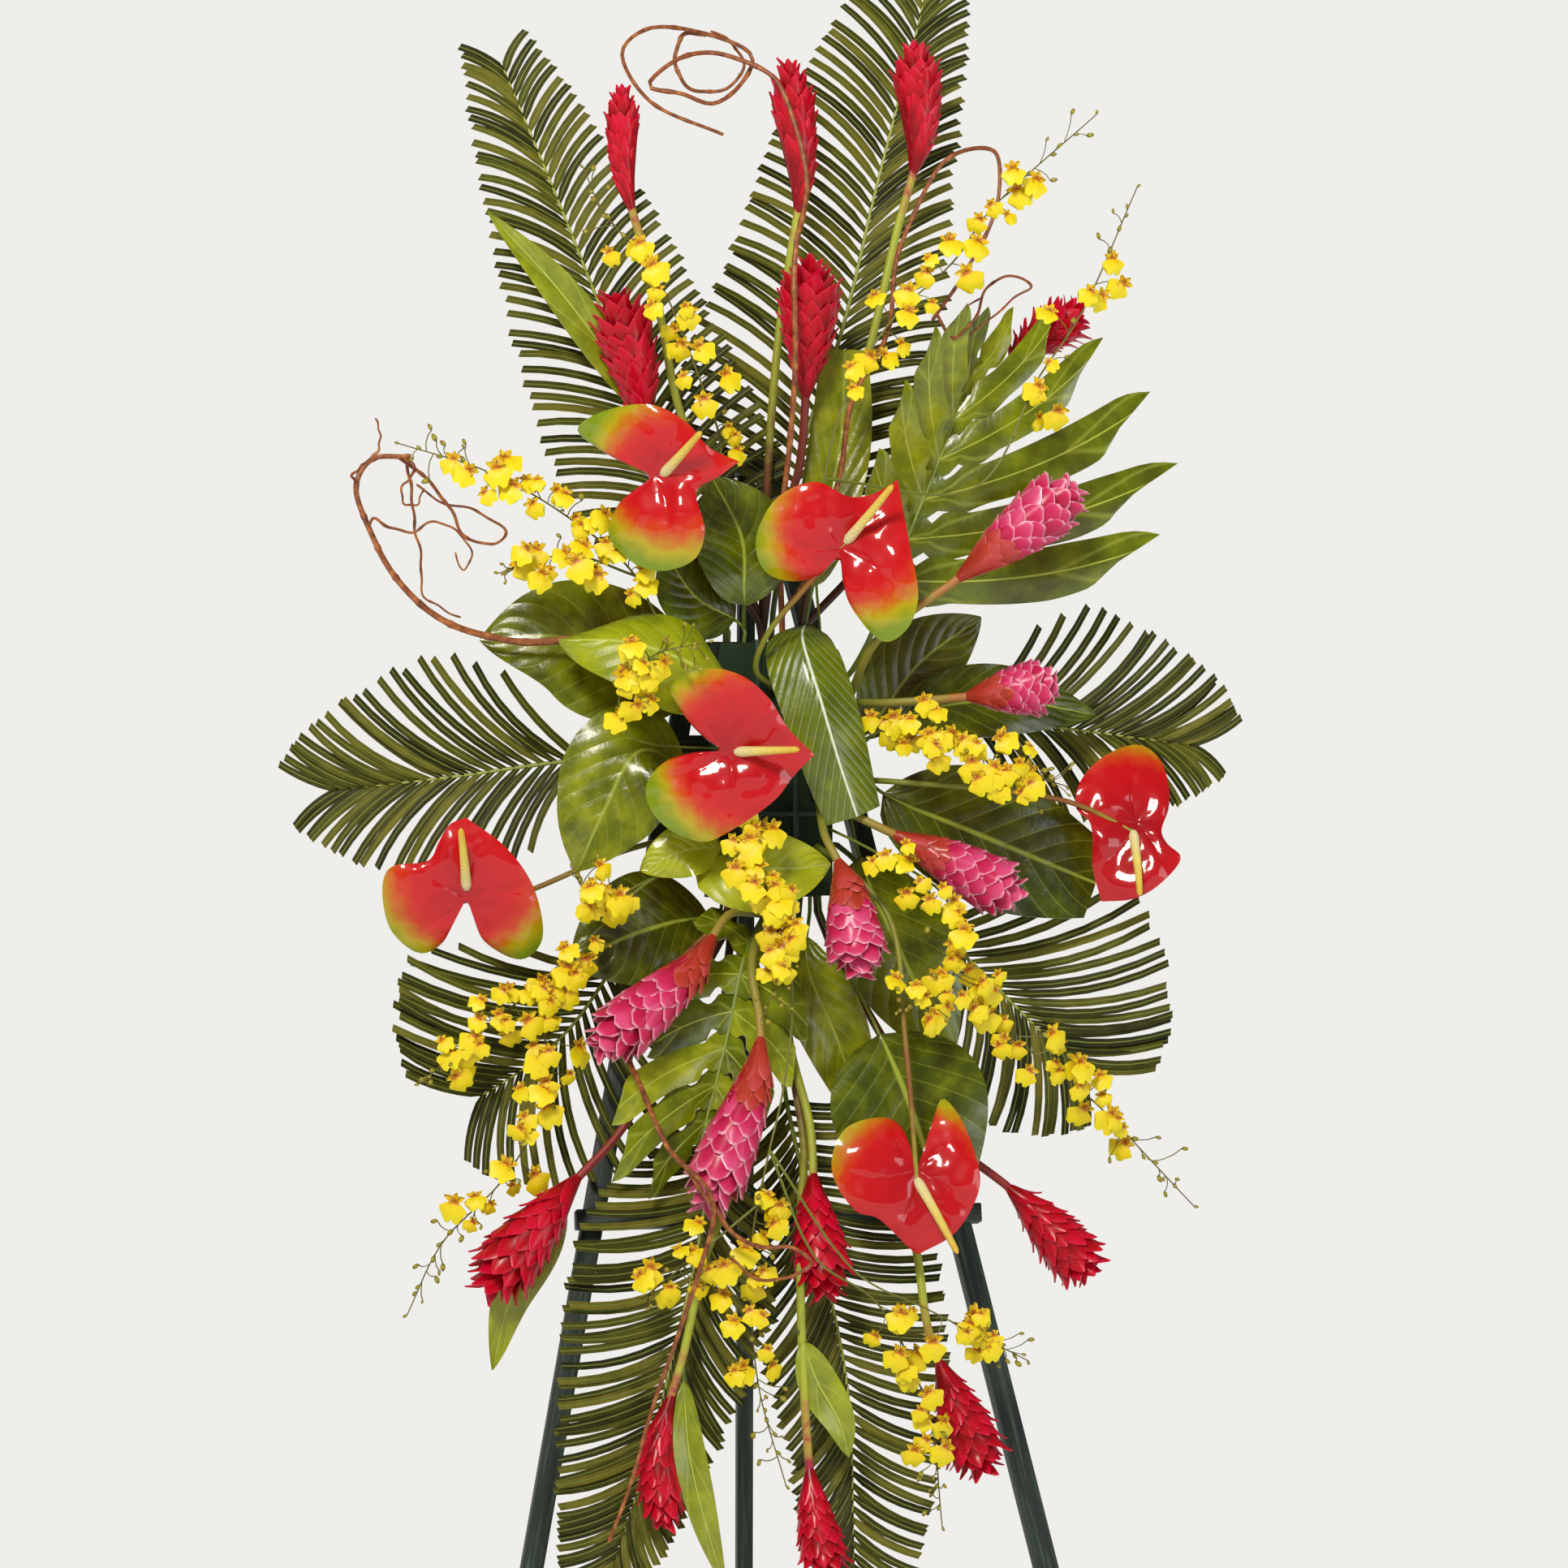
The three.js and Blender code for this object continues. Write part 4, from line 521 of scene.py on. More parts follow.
def leaflet_finish():
    """Waxy palm leaflets: dark olive green, browner and paler from one to the next, with a pale
    crease down the middle and fine ribs beside it."""
    material, tree, shader = new_material("waxy palm leaflet")
    spot, across, _, variety = surface(tree)
    cloud = node(tree, "TexNoise", Vector=spot, Scale=1 / (18 * MM), Detail=3.0, Roughness=0.6)
    clouded = node(tree, "Math", TIMES, i0=cloud, i1=0.5)
    shade = node(tree, "Math", TIMES_PLUS, i0=variety, i1=0.6, i2=clouded)
    stops = [(0.2, "262806"), (0.45, "40420a"), (0.65, "5a5a10"), (0.85, "7e7624")]
    colour = node(tree, "ValToRGB", {"stops": stops}, i0=shade)
    distance = node(tree, "Math", SIZE_OF, i0=across)
    crease = node(tree, "Math", {"operation": "LESS_THAN"}, i0=distance, i1=0.16)
    creased = node(tree, "Mix", COLOURS, i0=crease, i6=colour, i7=linear("7d8a3a"))
    chart = node(tree, "UVMap", {"uv_map": "surface map"})
    ribs = node(tree, "TexWave", {"wave_type": "BANDS", "bands_direction": "X"}, Vector=chart, Scale=1.6)
    ribbed = node(tree, "Bump", Height=ribs.outputs["Fac"], Distance=0.0003)
    wire(tree, shader, Base_Color=creased, Normal=ribbed, Roughness=0.42, Specular_IOR_Level=0.35)
    return material


def stalk_finish(name, stops):
    """A fresh stalk whose colour runs, a little unevenly, from its root to its end."""
    material, tree, shader = new_material(name)
    spot, _, along, _ = surface(tree)
    cloud = node(tree, "TexNoise", Vector=spot, Scale=1 / (12 * MM), Detail=3.0, Roughness=0.6)
    shift = node(tree, "Math", TIMES_PLUS, i0=cloud, i1=0.3, i2=-0.15)
    shifted = node(tree, "Math", PLUS, i0=along, i1=shift)
    colour = node(tree, "ValToRGB", {"stops": stops}, i0=shifted)
    wire(tree, shader, Base_Color=colour, Roughness=0.5)
    return material


palm_leaflet = leaflet_finish()
palm_rib = stalk_finish("waxy palm rib", [(0, "4f5a22"), (0.4, "8c9a3c"), (1, "b0b552")])

# full: leaflet length at the widest on the rib's two sides, short: share of it that the first
# leaflets have, bare: share of the rib with no leaflets, lean: the first ones' slant on each
# side in degrees, lift: how steeply they rise
FRONDS = [
  { "name": "frond_top_left", "root": ["top", -36, 113], "count": 20, "full": [125, 112],
    "short": 0.8, "bare": 0.16, "lean": [26, 16],
    "rib": [[-62, 1440, 113], [-126, 1586, 106], [-190, 1746, 92], [-240, 1866, 72]] },
  { "name": "frond_top_right", "root": ["top", 6, 113], "count": 24, "full": [146, 124],
    "short": 0.8, "bare": 0.17, "lean": [10, 32], "lift": 0.06,
    "rib": [[54, 1482, 97], [95, 1604, 86], [129, 1746, 84], [170, 1905, 66], [186, 1972, 52]] },
  { "name": "frond_left", "root": ["left", 1185, 113], "count": 13, "full": [138, 152],
    "short": 0.7, "bare": 0.38, "lean": [34, 34],
    "rib": [[-120, 1186, 116], [-197, 1178, 116], [-289, 1165, 110], [-405, 1152, 100]] },
  { "name": "frond_lower_left", "root": ["left", 1098, 118], "count": 12, "full": [160, 190],
    "short": 0.6, "bare": 0.5, "lean": [20, 20],
    "rib": [[-110, 1010, 140], [-175, 915, 160], [-232, 868, 168], [-262, 850, 170]] },
  { "name": "frond_right", "root": ["right", 1190, 113], "count": 13, "full": [146, 118],
    "short": 0.7, "bare": 0.44, "lean": [32, 32],
    "rib": [[146, 1222, 112], [226, 1222, 112], [335, 1210, 106], [440, 1196, 96]] },
  { "name": "frond_lower_right", "root": ["right", 1100, 118], "count": 13, "full": [182, 146],
    "short": 0.6, "bare": 0.44, "lean": [24, 24],
    "rib": [[140, 1050, 134], [209, 995, 146], [287, 918, 152], [331, 878, 154]] },
  { "name": "frond_bottom_left", "root": ["bottom", -34, 116], "count": 17, "full": [112, 132],
    "short": 0.6, "bare": 0.4, "lean": [40, 16],
    "rib": [[-24, 900, 172], [-44, 718, 240], [-60, 642, 254], [-98, 490, 276], [-134, 370, 298]] },
  { "name": "frond_bottom_right", "root": ["bottom", 34, 116], "count": 17, "full": [118, 118],
    "short": 0.6, "bare": 0.32, "lean": [10, 34],
    "rib": [[34, 900, 156], [66, 730, 216], [100, 566, 240], [106, 403, 268], [107, 335, 284]] },
]
LEAFLET_HALF = 4.2
LEAFLET_THICK = 0.7
LEAFLET_LIFT = 0.16
LEAFLET_SPREAD = 26
LEAFLET_BOW = 0.065
LEAFLET_FOLD = 0.35
RIB_ROOT = 3.0
RIB_TIP = 1.1
TIP_TRIM = 0.12
# How many leaflets the real frond has for each one of the plain model, by the foam's side
FINER = {"left": 1.5, "right": 1.5, "top": 2.1, "bottom": 2.7}


def frond_reach(s, full, short):
    """Leaflet length at a share of the leafy part: short at its start and at the tip."""
    return full * min(1, short + 2.2 * s) * (1 - 0.62 * s ** 2.2)


def rib_radius(z):
    """A rib's radius at a share of its length."""
    return RIB_ROOT + (RIB_TIP - RIB_ROOT) * z


leaflet = model_blade(2, 6)
rod = model_rod(8, 24)
FRONT = Vector((0, -1, 0))
for entry in FRONDS:
    dice = random.Random(entry["name"])
    frond = Piece(entry["name"], "palm_leaf", [palm_leaflet, palm_rib])
    curve = stem_curve(entry["root"], entry["rib"])
    pairs = round(entry["count"] * FINER[entry["root"][0]])
    rise = entry.get("lift", LEAFLET_LIFT)
    frond.rod(rod, Spine(curve, 0, 1, STEM_STEPS, FRONT), rib_radius, palm_rib)
    for pair in range(pairs):
        for hand in (-1, 1):
            s = (pair + 0.5) / pairs
            full = entry["full"][0 if hand < 0 else 1]
            share = entry["bare"] + (1 - entry["bare"]) * s
            start, tangent = curve.point(share), curve.tangent(share)
            normal = square(FRONT, tangent)
            across = tangent.cross(normal) * hand
            slant = entry["lean"][0 if hand < 0 else 1] + LEAFLET_SPREAD * s
            angle = math.radians(slant + dice.uniform(-2.5, 2.5))
            out = across * math.cos(angle) + tangent * math.sin(angle)
            wide = tangent * math.cos(angle) - across * math.sin(angle)
            length = frond_reach(s, full, entry["short"]) * dice.uniform(0.97, 1.01)
            up = rise + dice.uniform(-0.03, 0.03)
            twist = math.radians(dice.uniform(-20, 20))
            bow = LEAFLET_BOW * dice.uniform(0.7, 1.3)
            droop = dice.uniform(-0.05, 0.03)

            def place(x, y, z):
                width = LEAFLET_HALF * min(1, 0.5 + 3 * z) * (1 - 0.15 * z)
                turn = twist * z
                leaf_side = wide * math.cos(turn) + normal * math.sin(turn)
                leaf_up = normal * math.cos(turn) - wide * math.sin(turn)
                reach = length * z - TIP_TRIM * width * x * z
                spot = start + out * reach + wide * (4 * bow * length * z * (1 - z))
                spot = spot + normal * length * (up * z + droop * z * z)
                height = LEAFLET_FOLD * width * abs(x) + y * LEAFLET_THICK
                return spot + leaf_side * (width * x) + leaf_up * height

            frond.lay(leaflet, place, palm_leaflet, dice.random())
    frond.finish()


# The split leaves
# Two monstera leaves: leathery, glossy blades cut into broad straps between their side veins,
# with small holes beside the midrib. The stalk is pushed into the foam.
LEAF_STALK = 3.2
STALK_TIP = 0.9
LEAF_THICK = 1.3
OVERLAP = 2.0
LEAF_MOTTLE = 26
VEIN_SLANT = 0.3


def veined_finish(name, stops, midrib, gloss, veins):
    """A waxy leaf: mottled green with a paler midrib, and pairs of slanting side veins, veins of
    them along the blade, that the gloss picks out."""
    material, tree, shader = new_material(name)
    spot, across, along, variety = surface(tree)
    distance = node(tree, "Math", SIZE_OF, i0=across)
    cloud = node(tree, "TexNoise", Vector=spot, Scale=1 / (LEAF_MOTTLE * MM), Detail=4.0, Roughness=0.6)
    clouded = node(tree, "Math", TIMES, i0=cloud, i1=0.75)
    shade = node(tree, "Math", TIMES_PLUS, i0=variety, i1=0.35, i2=clouded)
    colour = node(tree, "ValToRGB", {"stops": stops}, i0=shade)
    behind = node(tree, "Math", TIMES_PLUS, i0=distance, i1=-VEIN_SLANT, i2=along)
    turns = node(tree, "Math", TIMES, i0=behind, i1=veins * math.pi)
    wave = node(tree, "Math", {"operation": "SINE"}, i0=turns)
    ridge = node(tree, "Math", SIZE_OF, i0=wave)
    line = node(tree, "MapRange", Value=ridge, From_Max=0.2, To_Min=0.35, To_Max=0.0)
    veined = node(tree, "Mix", COLOURS, i0=line, i6=colour, i7=linear(midrib))
    middle = node(tree, "MapRange", Value=distance, From_Min=0.015, From_Max=0.05, To_Min=1.0, To_Max=0.0)
    ribbed = node(tree, "Mix", COLOURS, i0=middle, i6=veined, i7=linear(midrib))
    relief = node(tree, "Math", TIMES_PLUS, i0=ridge, i1=0.5, i2=cloud)
    raised = node(tree, "Bump", Height=relief, Distance=0.0012)
    wire(tree, shader, Base_Color=ribbed, Normal=raised, Roughness=gloss, Specular_IOR_Level=0.35,
         Coat_Weight=0.5, Coat_Roughness=0.14, Subsurface_Weight=0.05)
    return material


deep_leaf = veined_finish(
    "glossy leathery leaf",
    [(0.25, "263206"), (0.45, "445204"), (0.62, "667208"), (0.85, "989c12")],
    midrib="9ca63a", gloss=0.24, veins=9)
strap_leaf = veined_finish(
    "glossy split leaf",
    [(0.25, "384404"), (0.45, "586804"), (0.62, "788408"), (0.85, "a8ac16")],
    midrib="b0b848", gloss=0.24, veins=1.5)
bright_leaf = veined_finish(
    "bright young leaf",
    [(0.2, "687806"), (0.42, "909a08"), (0.62, "a8ae0e"), (0.85, "c4c820")],
    midrib="bcc652", gloss=0.34, veins=9)
rib_leaf = veined_finish(
    "leaf with a white midrib",
    [(0.25, "4a5806"), (0.5, "66740a"), (0.7, "828c12"), (0.9, "9ca626")],
    midrib="e4ead0", gloss=0.3, veins=14)
green_stalk = stalk_finish("green leaf stalk", [(0, "4f6018"), (0.6, "7c8f2c"), (1, "95a640")])

# strip: width of whole blade beside the midrib, reach: how far each strap of the two sides goes
# on beyond it, lift: how steeply they rise, lean and spread: the first ones' slant in degrees and
# what the last have more, width: the widest that a strap may be
SPLIT_LEAVES = [
  { "name": "split_leaf_upper_right", "root": ["right", 1254, 140], "bare": 0.36, "strip": 34, "width": 56,
    "reach": [[30, 46, 60, 70, 64, 40], [205, 205, 182, 140, 104, 56]], "lift": [0.6, 0.08],
    "lean": 12, "spread": 58,
    "rib": [[120, 1296, 168], [150, 1376, 178], [190, 1475, 172], [226, 1575, 158]] },
  { "name": "split_leaf_lower_left", "root": ["bottom", -6, 152], "bare": 0.3, "strip": 34, "width": 46,
    "reach": [[36, 46, 46, 40, 34, 26], [30, 34, 46, 86, 90, 60]], "lift": [0.05, 0.1],
    "lean": 0, "spread": 58,
    "rib": [[0, 992, 212], [-20, 900, 232], [-44, 806, 244]] },
]
HOLE_NEAR = 13
HOLE_FAR = 30
HOLE_SHARE = 0.4
SLOT_FROM = 40
SLOT_TO = 58
WHOLE = 1.06
SLOTTED = 0.84
STRAP_ROWS = 24


def strap_fill(d):
    """Share of the room between two side veins that the blade fills, d mm from the midrib."""
    if HOLE_NEAR < d < HOLE_FAR:
        return WHOLE * (1 - HOLE_SHARE * math.sin(math.pi * (d - HOLE_NEAR) / (HOLE_FAR - HOLE_NEAR)))
    slot = min(1, max(0, (d - SLOT_FROM) / (SLOT_TO - SLOT_FROM)))
    return WHOLE + (SLOTTED - WHOLE) * slot


strap = model_blade(6, STRAP_ROWS)
for entry in SPLIT_LEAVES:
    dice = random.Random(entry["name"])
    split = Piece(entry["name"], "leaf", [strap_leaf, green_stalk])
    curve = stem_curve(entry["root"], entry["rib"])
    spine = Spine(curve, 0, 0.99, STEM_STEPS, FRONT, bare=entry["bare"])
    split.rod(rod, spine, lambda z: LEAF_STALK + (STALK_TIP - LEAF_STALK) * z, green_stalk)
    leafy = 1 - entry["bare"]
    count = len(entry["reach"][0])
    spacing = curve.length * leafy / count
    for i in range(count):
        s = (i + 0.5) / count
        share = entry["bare"] + leafy * s
        bulge = math.sin(math.pi * (0.16 + 0.8 * s)) ** 0.6
        start, tangent = curve.point(share), curve.tangent(share)
        normal = square(FRONT, tangent)
        for hand in (-1, 1):
            side = 0 if hand < 0 else 1
            across = tangent.cross(normal) * hand
            angle = math.radians(entry["lean"] + entry["spread"] * s)
            tipward = tangent * math.cos(angle) - across * math.sin(angle)
            out = across * math.cos(angle) + tangent * math.sin(angle)
            reach = entry["strip"] * bulge + entry["reach"][side][i]
            lift = entry["lift"][side]
            wave = dice.uniform(1.0, 2.5)
            phase = dice.uniform(0, 6)
            cut = dice.uniform(0.08, 0.14)
            fan = math.radians(entry["spread"]) / count

            def place(x, y, z):
                d = reach * z
                blend = min(1, z * 3)
                room = spacing * (1 + (math.cos(angle) - 1) * blend) + fan * d
                half = min(room * strap_fill(d), entry["width"]) / 2
                half *= 1 - 0.4 * max(0, (z - 0.86) / 0.14) ** 2
                longer = 1 + cut * x * z * z
                bend = reach * 0.17 * z ** 2.4
                height = reach * (lift * z + 0.03 * math.sin(2.6 * z)) + OVERLAP * 0.4 * x * (1 - z)
                height += wave * x * math.sin(5 * z + phase) * z - 0.1 * half * x * x + y * LEAF_THICK
                direction = (tangent * (1 - blend) + tipward * blend).normalized()
                return start + out * (d * longer) + direction * (half * x + bend) + normal * height

            split.lay(strap, place, strap_leaf, dice.random())
    split.finish()


# The plain leaves
# Broad cut leaves that fill in behind the flowers: dark leathery ones, a few bright young
# ones with wavy margins, and one folded strap with a white midrib. Their stalks stand in the foam.

# bare: share of the line with no blade, half: half the blade's width, full: where along it it is
# widest, fold: how steeply its two halves rise, blunt: how square its tip is, face: which way its
# upper side looks
LEAVES = [
  { "name": "leaf_left_large", "root": ["left", 1230, 134], "blades": [
    { "bare": 0.25, "half": 66, "fold": 0.12, "full": 0.8, "face": [0, -1, 0.25],
      "rib": [[-100, 1268, 156], [-180, 1302, 160], [-262, 1300, 148]] }] },
  { "name": "leaf_bright_wavy", "root": ["front", -38, 1228], "colour": "brightLeaf", "blades": [
    { "bare": 0.18, "half": 50, "fold": -0.15, "full": 1.1, "face": [0.1, -1, 0.5],
      "rib": [[-40, 1268, 234], [-110, 1296, 232], [-184, 1300, 210]] }] },
  { "name": "leaf_left_lower", "root": ["left", 1160, 160], "blades": [
    { "bare": 0.3, "half": 56, "fold": 0.15, "full": 0.9, "face": [-0.3, -1, 0],
      "rib": [[-104, 1190, 192], [-140, 1130, 196], [-166, 1072, 190]] }] },
  { "name": "leaf_left_lowest", "root": ["bottom", -46, 136], "blades": [
    { "bare": 0.34, "half": 56, "fold": 0.1, "full": 0.9, "face": [-0.2, -1, 0],
      "rib": [[-78, 1020, 172], [-120, 1006, 184], [-172, 980, 188]] }] },
  { "name": "leaf_rolled_strip", "root": ["top", 32, 166], "blades": [
    { "bare": 0.22, "half": 37, "fold": -0.3, "full": 0.45, "blunt": 0.9, "face": [0, -1, 0.2],
      "rib": [[56, 1300, 210], [74, 1240, 236], [92, 1180, 240], [110, 1126, 236]] }] },
  { "name": "leaf_upright_strip", "root": ["top", 33, 146], "blades": [
    { "bare": 0.3, "half": 30, "fold": 0.2, "full": 0.7, "blunt": 0.6, "face": [-0.2, -1, 0],
      "rib": [[76, 1400, 160], [94, 1500, 157], [98, 1586, 155]] }] },
  { "name": "leaf_dark_upper_pair", "root": ["top", -30, 170], "blades": [
    { "bare": 0.4, "half": 37, "fold": 0.15, "full": 0.8, "face": [0.2, -1, 0.3],
      "rib": [[-50, 1342, 184], [-82, 1390, 184]] },
    { "bare": 0.2, "half": 46, "fold": 0.2, "full": 0.8, "face": [0, -1, 0.1],
      "rib": [[-2, 1346, 190], [-4, 1400, 194], [-34, 1462, 190]] }] },
  { "name": "leaf_right_group", "root": ["right", 1180, 150], "blades": [
    { "bare": 0.34, "half": 64, "fold": 0.1, "full": 0.75, "blunt": 0.4, "face": [0.1, -1, 0.1],
      "rib": [[140, 1146, 176], [220, 1112, 186], [345, 1060, 186]] },
    { "bare": 0.26, "half": 36, "fold": 0.15, "full": 0.8, "face": [0, -1, 0.2],
      "rib": [[150, 1222, 160], [250, 1240, 158], [345, 1226, 146]] },
    { "bare": 0.34, "half": 58, "fold": 0.1, "full": 0.8, "face": [0.2, -1, 0],
      "rib": [[114, 1080, 156], [158, 980, 174], [202, 884, 188]] },
    { "bare": 0.2, "half": 44, "fold": 0.1, "full": 0.8, "face": [0.1, -1, 0.1],
      "rib": [[132, 1226, 142], [170, 1276, 136], [232, 1322, 130]] }] },
  { "name": "leaf_lower_centre", "root": ["bottom", 34, 168], "blades": [
    { "bare": 0.3, "half": 35, "fold": 0.2, "full": 0.8, "face": [0.2, -1, -0.1],
      "rib": [[60, 980, 196], [92, 900, 208], [118, 812, 218]] }] },
  { "name": "leaf_behind_lowest", "root": ["bottom", 46, 152], "colour": "brightLeaf", "blades": [
    { "bare": 0.56, "half": 76, "fold": 0.08, "full": 0.7, "face": [0.1, -1, -0.1],
      "rib": [[130, 916, 232], [162, 840, 256], [182, 776, 262], [192, 722, 264]] }] },
  { "name": "leaf_bright_centre_pair", "root": ["front", -38, 1098], "colour": "brightLeaf", "blades": [
    { "bare": 0.3, "half": 42, "fold": 0.15, "full": 0.7, "face": [0, -1, 0.2],
      "rib": [[-16, 1080, 210], [30, 1074, 220], [84, 1078, 212]] },
    { "bare": 0.2, "half": 26, "fold": 0.15, "full": 0.8, "face": [0, -1, 0.2],
      "rib": [[-60, 1092, 204], [-104, 1072, 200]] }] },
]
LOOKS = {
    "leaf_bright_wavy": {"finish": bright_leaf, "wave": 7, "roll": 0.5},
    "leaf_behind_lowest": {"finish": deep_leaf, "wave": 3},
    "leaf_bright_centre_pair": {"finish": bright_leaf, "wave": 4},
    "leaf_rolled_strip": {"finish": rib_leaf},
    "leaf_left_large": {"finish": deep_leaf, "wave": 4},
}
LEAF_STEM = 2.2
LEAF_STEM_TAPER = 0.75
BLADE_STARTS = 0.9
LEAF_VEINS = 9


def leaf_half(s, full, blunt):
    """Share of the full half width at a share of the blade; blunt squares off the tip."""
    s = s * (1 - 0.5 * blunt)
    return max(0.03, math.sin(math.pi * s ** full) ** 0.75)


leaf_blade = model_blade(12, 30)


def lay_leaf(piece, curve, bare, blade, look, dice, lay_finish):
    """One leaf on its stalk: a folded, waved blade on the last part of a curve."""
    face = Vector(blade["face"]).normalized()
    blunt = blade.get("blunt", 0.0)
    spine = Spine(curve, bare * BLADE_STARTS, 1, STEM_STEPS, face)
    stalk = Spine(curve, 0, 1, STEM_STEPS, face, bare=bare)
    piece.rod(rod, stalk, lambda z: LEAF_STEM * (1 - LEAF_STEM_TAPER * z), green_stalk)
    wave = look.get("wave", 2.5)
    roll = look.get("roll", 0.0)
    phase = dice.uniform(0, 6)

    def place(x, y, z):
        spot, tangent, normal, side = spine.at(z)
        half = blade["half"] * leaf_half(z, blade["full"], blunt)
        edge = abs(x)
        height = LEAF_STEM * (1 - LEAF_STEM_TAPER * z)
        height += half * edge * blade["fold"] - 0.1 * half * edge ** 2
        height += wave * edge ** 2 * math.sin(9 * z + phase + (0.9 if x > 0 else 0))
        height -= 0.5 * abs(math.sin(math.pi * LEAF_VEINS * (z - 0.25 * edge))) * edge * (1 - edge)
        height -= roll * half * edge ** 3 * z * (1 if x > 0 else 0)
        return spot + side * (half * x) + normal * (height + y * LEAF_THICK)

    piece.lay(leaf_blade, place, lay_finish, dice.random())


for entry in LEAVES:
    dice = random.Random(entry["name"])
    look = LOOKS.get(entry["name"], {})
    finish = look.get("finish", deep_leaf)
    slot = "bright_leaf" if entry.get("colour") == "brightLeaf" else "leaf"
    leaf = Piece(entry["name"], slot, [finish, green_stalk])
    main = None
    for blade in entry["blades"]:
        if main:
            curve = Curve([main.point(collar_of(main)), *(seen(*p) for p in blade["rib"])])
        else:
            curve = main = stem_curve(entry["root"], blade["rib"])
        lay_leaf(leaf, curve, blade["bare"], blade, look, dice, finish)
    leaf.finish()


# The anthuriums
# Six anthuriums: a waxy heart-shaped spathe, puckered along its veins, red with orange and
# green ends to its lobes, and a cream spadix in front of it. Each stem is pushed into the foam.

# outline: the rim as seen from the front, right and up from the centre, anticlockwise from the
# tip; lean: how far it comes forward per millimetre right and up; fold: and off its midline
ANTHURIUMS = [
  { "name": "anthurium_upper_left", "root": ["top", -44, 158], "centre": [-90, 1462, 244],
    "lean": [0.36, 0.1], "fold": 0.3, "stem": [[-60, 1350, 166], [-80, 1420, 196]], "spadix": [36, 36, 44],
    "outline": [[84, 14], [54, 28], [34, 51], [-2, 70], [-52, 63], [-76, 46], [-46, 21], [-5, -2],
      [-34, -26], [-45, -58], [-22, -85], [7, -94], [40, -82], [50, -55], [42, -14], [62, -2]] },
  { "name": "anthurium_upper_right", "root": ["front", -6, 1250], "centre": [94, 1390, 266],
    "lean": [0.25, 0.02], "fold": 0.3, "stem": [[10, 1270, 206], [22, 1306, 226], [58, 1350, 250]],
    "spadix": [42, 50, 40],
    "outline": [[56, 68], [32, 54], [9, 51], [-25, 66], [-63, 50], [-84, 8], [-75, -22], [-51, -32],
      [-22, -27], [-2, -10], [2, -33], [10, -57], [43, -92], [64, -81], [76, -51], [67, 8]] },
  { "name": "anthurium_centre", "root": ["front", -6, 1172], "centre": [-18, 1190, 270],
    "lean": [0.2, 0.16], "fold": 0.3, "stem": [[-12, 1176, 236]], "spadix": [58, 2, 40],
    "outline": [[86, -3], [61, 22], [40, 54], [14, 75], [-19, 82], [-56, 65], [-43, 36], [-22, 13],
      [-7, 2], [-34, -1], [-63, -11], [-80, -34], [-75, -58], [-54, -79], [-22, -89], [2, -79],
      [49, -46], [64, -26]] },
  { "name": "anthurium_right", "root": ["right", 1162, 166], "centre": [386, 1119, 214],
    "lean": [0.12, -0.3], "fold": 0.25, "stem": [[150, 1160, 212], [320, 1140, 212]], "spadix": [4, -60, 30],
    "outline": [[-35, -77], [-3, -74], [22, -60], [43, -33], [30, -20], [24, -8], [31, 15], [31, 38],
      [22, 64], [5, 77], [-15, 75], [-41, 60], [-58, 37], [-60, 15], [-47, 2], [-44, -14],
      [-44, -43]] },
  { "name": "anthurium_left", "root": ["left", 1112, 152], "centre": [-275, 1046, 206],
    "lean": [0.08, 0.26], "fold": 0.2,
    "stem": [[-120, 1092, 156], [-222, 1050, 164], [-262, 1044, 184]], "spadix": [-3, 56, 36],
    "outline": [[-1, 79], [-17, 72], [-28, 54], [-37, 37], [-75, 30], [-83, 15], [-75, -32],
      [-46, -55], [-25, -46], [-1, -5], [17, -43], [55, -61], [74, -43], [66, 10], [38, 50]] },
  { "name": "anthurium_lowest", "root": ["front", 38, 1098], "centre": [169, 777, 304],
    "lean": [0.1, -0.2], "fold": 0.25, "stem": [[140, 1030, 246], [158, 900, 286]], "spadix": [36, -64, 40],
    "outline": [[1, -83], [38, -61], [61, -20], [61, 3], [41, 55], [25, 71], [15, 46], [1, 5],
      [-14, 42], [-31, 52], [-71, 41], [-84, 1], [-60, -40], [-39, -47], [-8, -76]] },
]
# How much further the green reaches in from the lobes' ends, as a share of 100 mm
GREEN_LOBES = {
    "anthurium_upper_left": 0.3, "anthurium_upper_right": 0.2, "anthurium_centre": 0.14,
    "anthurium_right": 0.0, "anthurium_left": 0.22, "anthurium_lowest": 0.14,
}
SPATHE_THICK = 1.6
SPATHE_CURL = 0.002
SPATHE_STEM = 2.8
RIM_ROLL = 4.0
QUILT = 3.0
PUCKER = 1.0
SPADIX_OFF = 9
SPADIX_THICK = 5.2
SPADIX_TAPER = 0.45


